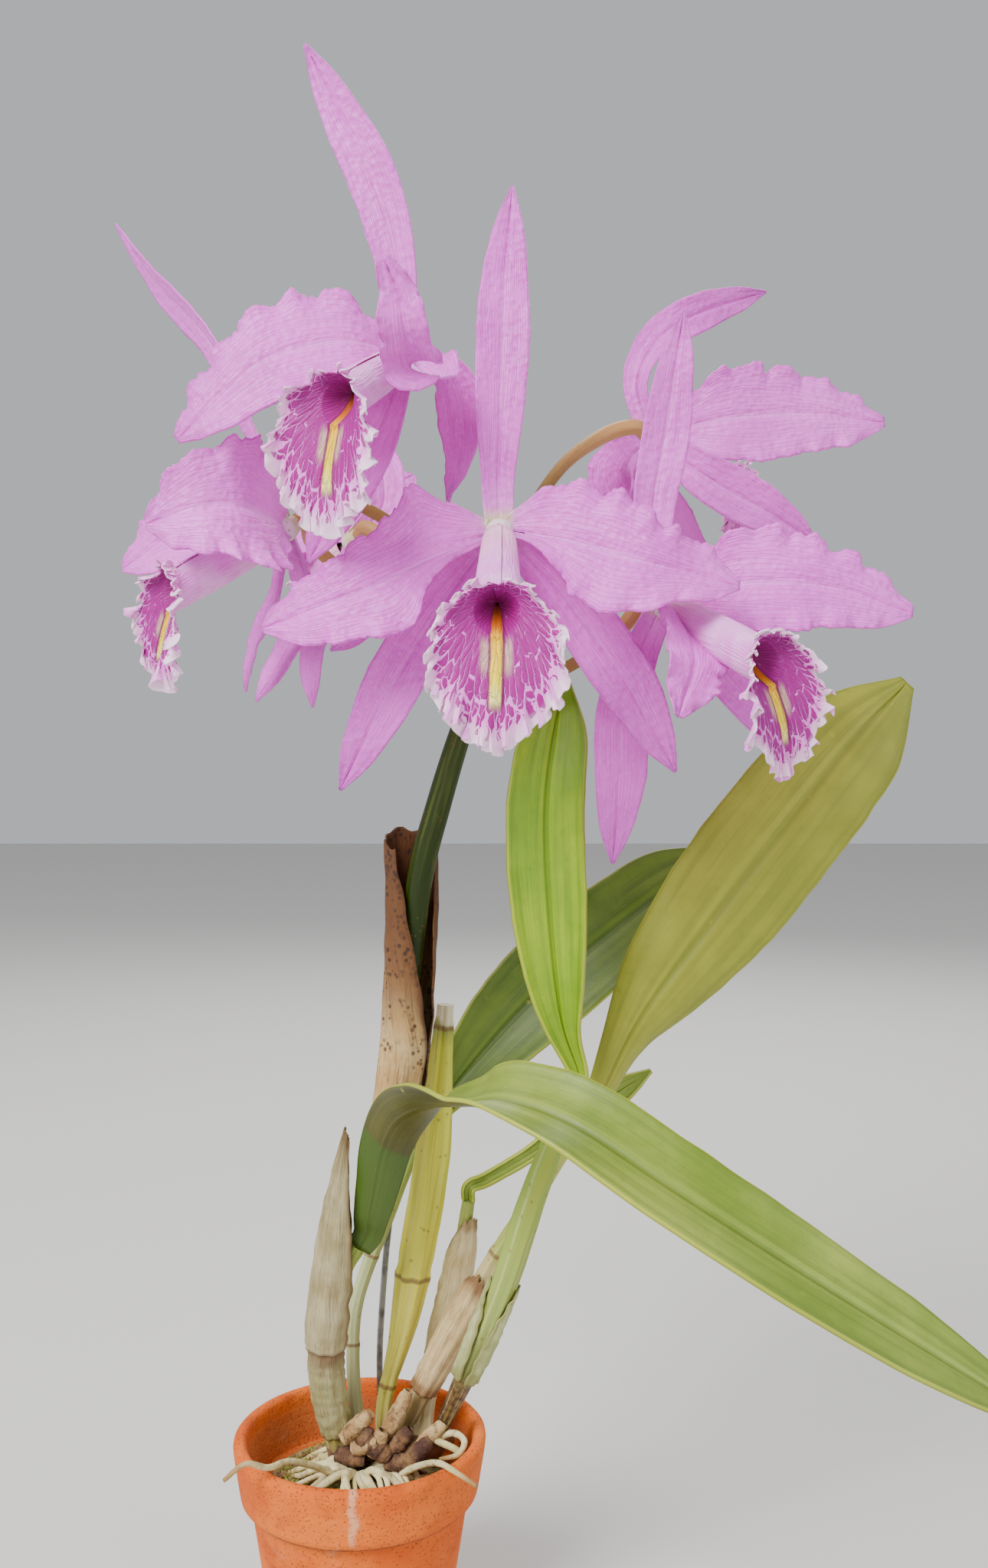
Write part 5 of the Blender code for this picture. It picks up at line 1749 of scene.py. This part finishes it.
@dataclass
class ClayPot:
    """The clay pot: a turned wall, a band round its rim, a ledge inside and drain holes."""

    rim: float = 40.0
    band_bottom: float = 37.5
    band: float = 19.0
    height: float = 73.0
    neck: float = 34.5
    base: float = 26.0
    wall: float = 4.5
    ledge_drop: float = 17.0
    floor: float = 6.0
    drains: int = 3
    drain: float = 3.0
    drain_circle: float = 13.0
    unevenness: float = 0.12
    sides: int = 128

    def profile(self) -> list[tuple[float, float]]:
        """Radii and heights in mm, from the underside up and over the rim to the inside floor.

        Returns:
            The points of the outline, each a radius and a height.
        """
        rim, top, inner, foot = self.rim, self.height, self.neck - self.wall, self.base - self.wall
        ledge, low, band = top - self.ledge_drop, top - self.band, self.band_bottom
        return [
            (0, 0), (self.base - 2, 0), (self.base - 0.8, 0.2), (self.base, 1.2), (self.base + 0.6, 4),
            (self.neck - 0.2, low - 2), (self.neck, low - 0.5), (self.neck + 0.4, low),
            (band - 0.7, low + 0.3), (band, low + 1.1), (band + 0.3, low + 2.5),
            (rim - 0.3, top - 5), (rim, top - 2.4), (rim - 0.2, top - 1.2), (rim - 0.8, top - 0.5),
            (rim - 1.6, top - 0.1), (rim - 2.4, top), (rim - 3.4, top - 0.5), (rim - 4.0, top - 1.4),
            (inner + 3.9, ledge + 2), (inner + 3.4, ledge), (inner + 0.5, ledge - 0.6), (inner, ledge - 1.5),
            (foot, self.floor + 1), (foot - 2, self.floor), (0, self.floor)]

    def build(self) -> None:
        """Turns the pot, cuts its drain holes and roughens it a little."""
        piece = Piece()
        bm = piece.bm
        points = [bm.verts.new((radius * MM, 0, height * MM)) for radius, height in self.profile()]
        for a, b in zip(points, points[1:]):
            bm.edges.new((a, b))
        edges = [edge for edge in bm.edges if edge.calc_length() > 6 * MM]
        bmesh.ops.subdivide_edges(bm, edges=edges, cuts=8)
        bmesh.ops.spin(bm, geom=bm.verts[:] + bm.edges[:], cent=(0, 0, 0), axis=(0, 0, 1), angle=2 * math.pi,
                       steps=self.sides, use_merge=True)
        bmesh.ops.remove_doubles(bm, verts=bm.verts[:], dist=1e-6)
        for vertex in bm.verts:
            out = Vector((vertex.co.x, vertex.co.y, 0))
            if out.length > 20 * MM:
                vertex.co += out.normalized() * self.unevenness * MM * wander(*(vertex.co * 70))
        made = piece.tidy().finish("pot", "clay", [ClayFinish().make()], ["pot"], sharp=50)
        for k in range(self.drains):
            self.bore(made, 2 * math.pi * (k + 0.25) / self.drains)

    def bore(self, pot: bpy.types.Object, turn: float) -> None:
        """Cuts one drain hole through the floor.

        Args:
            pot: the turned pot.
            turn: the hole's angle round the pot's axis.
        """
        bm = bmesh.new()
        size = self.drain * MM
        bmesh.ops.create_cone(bm, cap_ends=True, segments=24, radius1=size, radius2=size,
                              depth=3 * self.floor * MM)
        where = (self.drain_circle * MM * math.cos(turn), self.drain_circle * MM * math.sin(turn), 0)
        bmesh.ops.translate(bm, verts=bm.verts[:], vec=where)
        mesh = bpy.data.meshes.new("drill")
        bm.to_mesh(mesh)
        bm.free()
        drill = bpy.data.objects.new("drill", mesh)
        bpy.context.scene.collection.objects.link(drill)
        hole = pot.modifiers.new("hole", "BOOLEAN")
        hole.operation, hole.solver, hole.object = "DIFFERENCE", "EXACT", drill
        graph = bpy.context.evaluated_depsgraph_get()
        made = bpy.data.meshes.new_from_object(pot.evaluated_get(graph))
        pot.modifiers.clear()
        pot.data = made
        bpy.data.objects.remove(drill)


@dataclass
class PotFilling:
    """Moss, bark chips and the thick pale roots over them."""

    top: float = 56.0
    dome: float = 3.0
    edge: float = 30.0
    foot: float = 20.5
    foot_height: float = 7.6
    spread: float = 29.0
    chips: int = 90
    chip_size: tuple[tuple[float, float], ...] = ((1.5, 4.5), (1.2, 3.0), (0.6, 1.6))
    sprigs: int = 620
    roots: int = 40
    seed: int = 8
    rim_roots: tuple[tuple[Spot, ...], ...] = (
        ((446, 1930, 4), (410, 1915, 14), (377, 1909, 23), (350, 1917, 31), (320, 1912, 35), (292, 1934, 36)),
        ((512, 1930, 5), (546, 1915, 14), (572, 1911, 25), (592, 1921, 33), (622, 1941, 38)),
        ((560, 1884, 2), (590, 1872, 4), (606, 1882, 10), (598, 1900, 14), (574, 1906, 16)),
        ((566, 1880, 4), (596, 1894, 10), (606, 1908, 14), (588, 1922, 20), (562, 1930, 18)),
    )

    def level(self, radius: float) -> float:
        """The height of the moss in mm at a distance from the axis in mm."""
        return self.top + self.dome * max(0.0, 1 - (radius / self.edge) ** 2)

    def build(self) -> None:
        """Builds the moss bed, the chips, the sprigs and the roots."""
        rng = random.Random(self.seed)
        self.bed()
        self.bark(rng)
        self.moss(rng)
        self.root_mass(rng)

    def bed(self) -> None:
        """Builds the lumpy body of the mix."""
        piece = Piece()
        bmesh.ops.create_circle(piece.bm, cap_ends=True, segments=64, radius=1)
        bmesh.ops.poke(piece.bm, faces=piece.bm.faces[:])
        spokes = [edge for edge in piece.bm.edges if not edge.is_boundary]
        bmesh.ops.subdivide_edges(piece.bm, edges=spokes, cuts=18, use_grid_fill=True)
        for vertex in piece.bm.verts:
            reach = min(1.0, vertex.co.length) * self.edge
            lump = 1.3 * wander(*(vertex.co * 7)) + 0.7 * wander(*(vertex.co * 21))
            across, ahead = vertex.co.x * self.edge, vertex.co.y * self.edge
            vertex.co = Vector((across, ahead, self.level(reach) + lump)) * MM
        rim = [edge for edge in piece.bm.edges if edge.is_boundary]
        made = bmesh.ops.extrude_edge_only(piece.bm, edges=rim)
        low = [item for item in made["geom"] if isinstance(item, bmesh.types.BMVert)]
        share = self.foot / self.edge
        for vertex in low:
            vertex.co = Vector((vertex.co.x * share, vertex.co.y * share, self.foot_height * MM))
        bmesh.ops.contextual_create(piece.bm, geom=low)
        paint = EarthFinish("moss_bed", shade(104, 94, 52), shade(150, 140, 84),
                            shade(52, 42, 28), 380).make()
        piece.tidy().finish("potting_mix", "moss_and_bark", [paint], ["potting_mix"])

    def bark(self, rng: random.Random) -> None:
        """Builds broken bark chips that lie on the bed.

        Args:
            rng: where the chances come from.
        """
        piece = Piece()
        for _ in range(self.chips):
            size = Vector([rng.uniform(*span) for span in self.chip_size]) * MM
            made = bmesh.ops.create_cube(piece.bm, size=1)["verts"]
            angle, reach = rng.uniform(0, 2 * math.pi), self.spread * math.sqrt(rng.random())
            spin = Matrix.Rotation(rng.uniform(0, 6.3), 4, "Z")
            spin = spin @ Matrix.Rotation(rng.uniform(-0.5, 0.5), 4, "X")
            height = self.level(reach) + rng.uniform(-0.3, 0.8)
            place = Vector((reach * math.cos(angle), reach * math.sin(angle), height)) * MM
            for vertex in made:
                rough = Vector([1 + rng.uniform(-0.25, 0.25) for _ in range(3)])
                vertex.co = place + spin @ Vector([c * s * r for c, s, r in zip(vertex.co, size, rough)])
        bmesh.ops.bevel(piece.bm, geom=piece.bm.edges[:], offset=0.2 * MM, segments=1, affect="EDGES",
                        profile=0.5, material=-1)
        paint = EarthFinish("bark_chip", shade(116, 82, 50), shade(160, 124, 84),
                            shade(58, 38, 24), 500).make()
        piece.tidy().finish("bark_chips", "moss_and_bark", [paint])

    def moss(self, rng: random.Random) -> None:
        """Builds short curled sprigs of dry moss, thickest at the left of the pot.

        Args:
            rng: where the chances come from.
        """
        piece = Piece()
        for _ in range(self.sprigs):
            angle = rng.gauss(math.radians(200), 0.9) if rng.random() < 0.6 else rng.uniform(0, 2 * math.pi)
            reach = self.spread * math.sqrt(rng.uniform(0.15, 1.0))
            start = Vector((reach * math.cos(angle), reach * math.sin(angle), self.level(reach) - 0.4)) * MM
            way = Vector((rng.uniform(-1, 1), rng.uniform(-1, 1), rng.uniform(0.4, 1.4))).normalized()
            curl = Vector((rng.uniform(-1, 1), rng.uniform(-1, 1), rng.uniform(-1.2, 0.2)))
            length = rng.uniform(1.6, 4.2) * MM
            end = start + way * length + curl * length * 0.5
            line = smooth_line([start, start + way * length * 0.6, end], 4)
            size = rng.uniform(0.22, 0.42) * MM
            piece.rod(line, lambda u, t: size * (1.1 - t), 4)
        paint = EarthFinish("moss_sprig", shade(140, 134, 44), shade(184, 176, 84),
                            shade(84, 76, 22), 700).make()
        piece.tidy().finish("moss_sprigs", "moss_and_bark", [paint])

    def root_mass(self, rng: random.Random) -> None:
        """Builds the roots that fan out from under the rhizome, and the few that leave the pot.

        Args:
            rng: where the chances come from.
        """
        piece = Piece()
        for i in range(self.roots):
            turn = 2 * math.pi * (i + rng.uniform(-0.4, 0.4)) / self.roots
            reach = rng.uniform(0.5, 0.97) * (self.edge - 1.2)
            sway, hump = rng.uniform(-0.9, 0.9), rng.uniform(0.4, 4.6)
            path = []
            for share in (0.0, 0.25, 0.5, 0.75, 1.0):
                radius = 4 + share * (reach - 4)
                angle = turn + sway * share * share
                lift = hump * math.sin(math.pi * min(1.0, share * 1.2)) + 1.5 * (1 - share)
                height = self.level(radius) + 0.6 + lift - (1.4 if share == 1.0 else 0)
                path.append(Vector((radius * math.cos(angle), radius * math.sin(angle) - 1, height)) * MM)
            self.root(piece, path, rng.uniform(0.75, 1.3), 18)
        for spots_of in self.rim_roots:
            self.root(piece, spots(*spots_of), 1.05, 40)
        paint = EarthFinish("root_velamen", shade(200, 186, 126), shade(230, 220, 172),
                            shade(140, 116, 66), 220, 0.75, shade(156, 118, 66)).make()
        piece.tidy().finish("roots", "root", [paint], ["roots"])

    def root(self, piece: Piece, path: Sequence[Vector], size: float, steps: int) -> None:
        """Adds one root to a piece.

        Args:
            piece: the mesh it joins.
            path: the points it passes through.
            size: its radius in mm.
            steps: faces along it.
        """
        seed = path[1].x * 900
        line = smooth_line(path, steps)
        piece.rod(line, lambda u, t: size * MM * (1.04 - 0.45 * t ** 3 + 0.1 * wander(seed, t * 9)), 10)


@dataclass
class Studio:
    """The pale floor, the soft light and the eye's camera."""

    sensor: float = 36.0
    floor_size: float = 6.0
    floor_shade: Colour = shade(214, 212, 208)
    sky: Colour = shade(226, 228, 232)
    sky_strength: float = 0.68
    lamps: tuple[tuple[str, Spot, Spot, float, float], ...] = (
        ("key", (-0.9, -1.2, 1.5), (0.03, 0, 0.3), 1.0, 62),
        ("fill", (1.3, -1.0, 0.8), (0.03, 0, 0.28), 1.2, 11),
        ("back", (0.3, 1.2, 1.3), (0.03, 0, 0.35), 1.0, 15))

    def build(self) -> None:
        """Builds the floor, the lights and the camera."""
        bm = bmesh.new()
        bmesh.ops.create_grid(bm, x_segments=1, y_segments=1, size=self.floor_size)
        mesh = bpy.data.meshes.new("floor")
        bm.to_mesh(mesh)
        bm.free()
        paint = Paint("pale_floor")
        paint.colour = self.floor_shade
        mesh.materials.append(paint.done(0.9))
        floor = bpy.data.objects.new("floor", mesh)
        bpy.context.scene.collection.objects.link(floor)
        floor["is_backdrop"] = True
        for lamp in self.lamps:
            self.lamp(*lamp)
        world = bpy.data.worlds.new("studio")
        world.use_nodes = True
        sky = world.node_tree.nodes["Background"]
        sky.inputs["Color"].default_value = (*self.sky, 1)
        sky.inputs["Strength"].default_value = self.sky_strength
        bpy.context.scene.world = world
        self.camera()

    def lamp(self, name: str, place: Spot, target: Spot, size: float, power: float) -> None:
        """Adds one soft square lamp.

        Args:
            name: its name.
            place: where it hangs, in metres.
            target: what it points at.
            size: its side in metres.
            power: its strength in watts.
        """
        data = bpy.data.lights.new(name, "AREA")
        data.size, data.energy = size, power
        lamp = bpy.data.objects.new(name, data)
        lamp.location = place
        lamp.rotation_euler = (Vector(target) - Vector(place)).to_track_quat("-Z", "Y").to_euler()
        bpy.context.scene.collection.objects.link(lamp)

    def camera(self) -> None:
        """Adds the camera at the eye, level, looking along +Y."""
        data = bpy.data.cameras.new("eye")
        data.sensor_width = self.sensor
        data.lens = EYE.focal / EYE.height * self.sensor
        data.clip_start = 0.01
        camera = bpy.data.objects.new("eye", data)
        camera.location = EYE.place
        camera.rotation_euler = (math.pi / 2, 0, 0)
        bpy.context.scene.collection.objects.link(camera)
        bpy.context.scene.camera = camera


def main() -> None:
    """Builds the whole plant in its pot."""
    logging.basicConfig(level=logging.INFO, format="%(message)s")
    ClayPot().build()
    PotFilling().build()
    Canes().build()
    SupportWire().build()
    Foliage().build()
    DrySheaths().build()
    blooms = bloom_list()
    FlowerStem().build(blooms)
    tepal = TepalFinish().make()
    heart = StemFinish("heart_cream", shade(214, 206, 150), shade(236, 214, 226)).make()
    inner = LipFinish("lip_inner", Side.INNER).make()
    outer = LipFinish("lip_outer", Side.OUTER).make()
    for bloom in blooms:
        bloom.make_tepals(tepal)
        bloom.make_heart(heart)
        bloom.make_lip(inner, outer)
    Studio().build()


if __name__ == "__main__":
    main()
    boxes = [[list(corner) for corner in box] for box in (SOLID_BOX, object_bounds())]
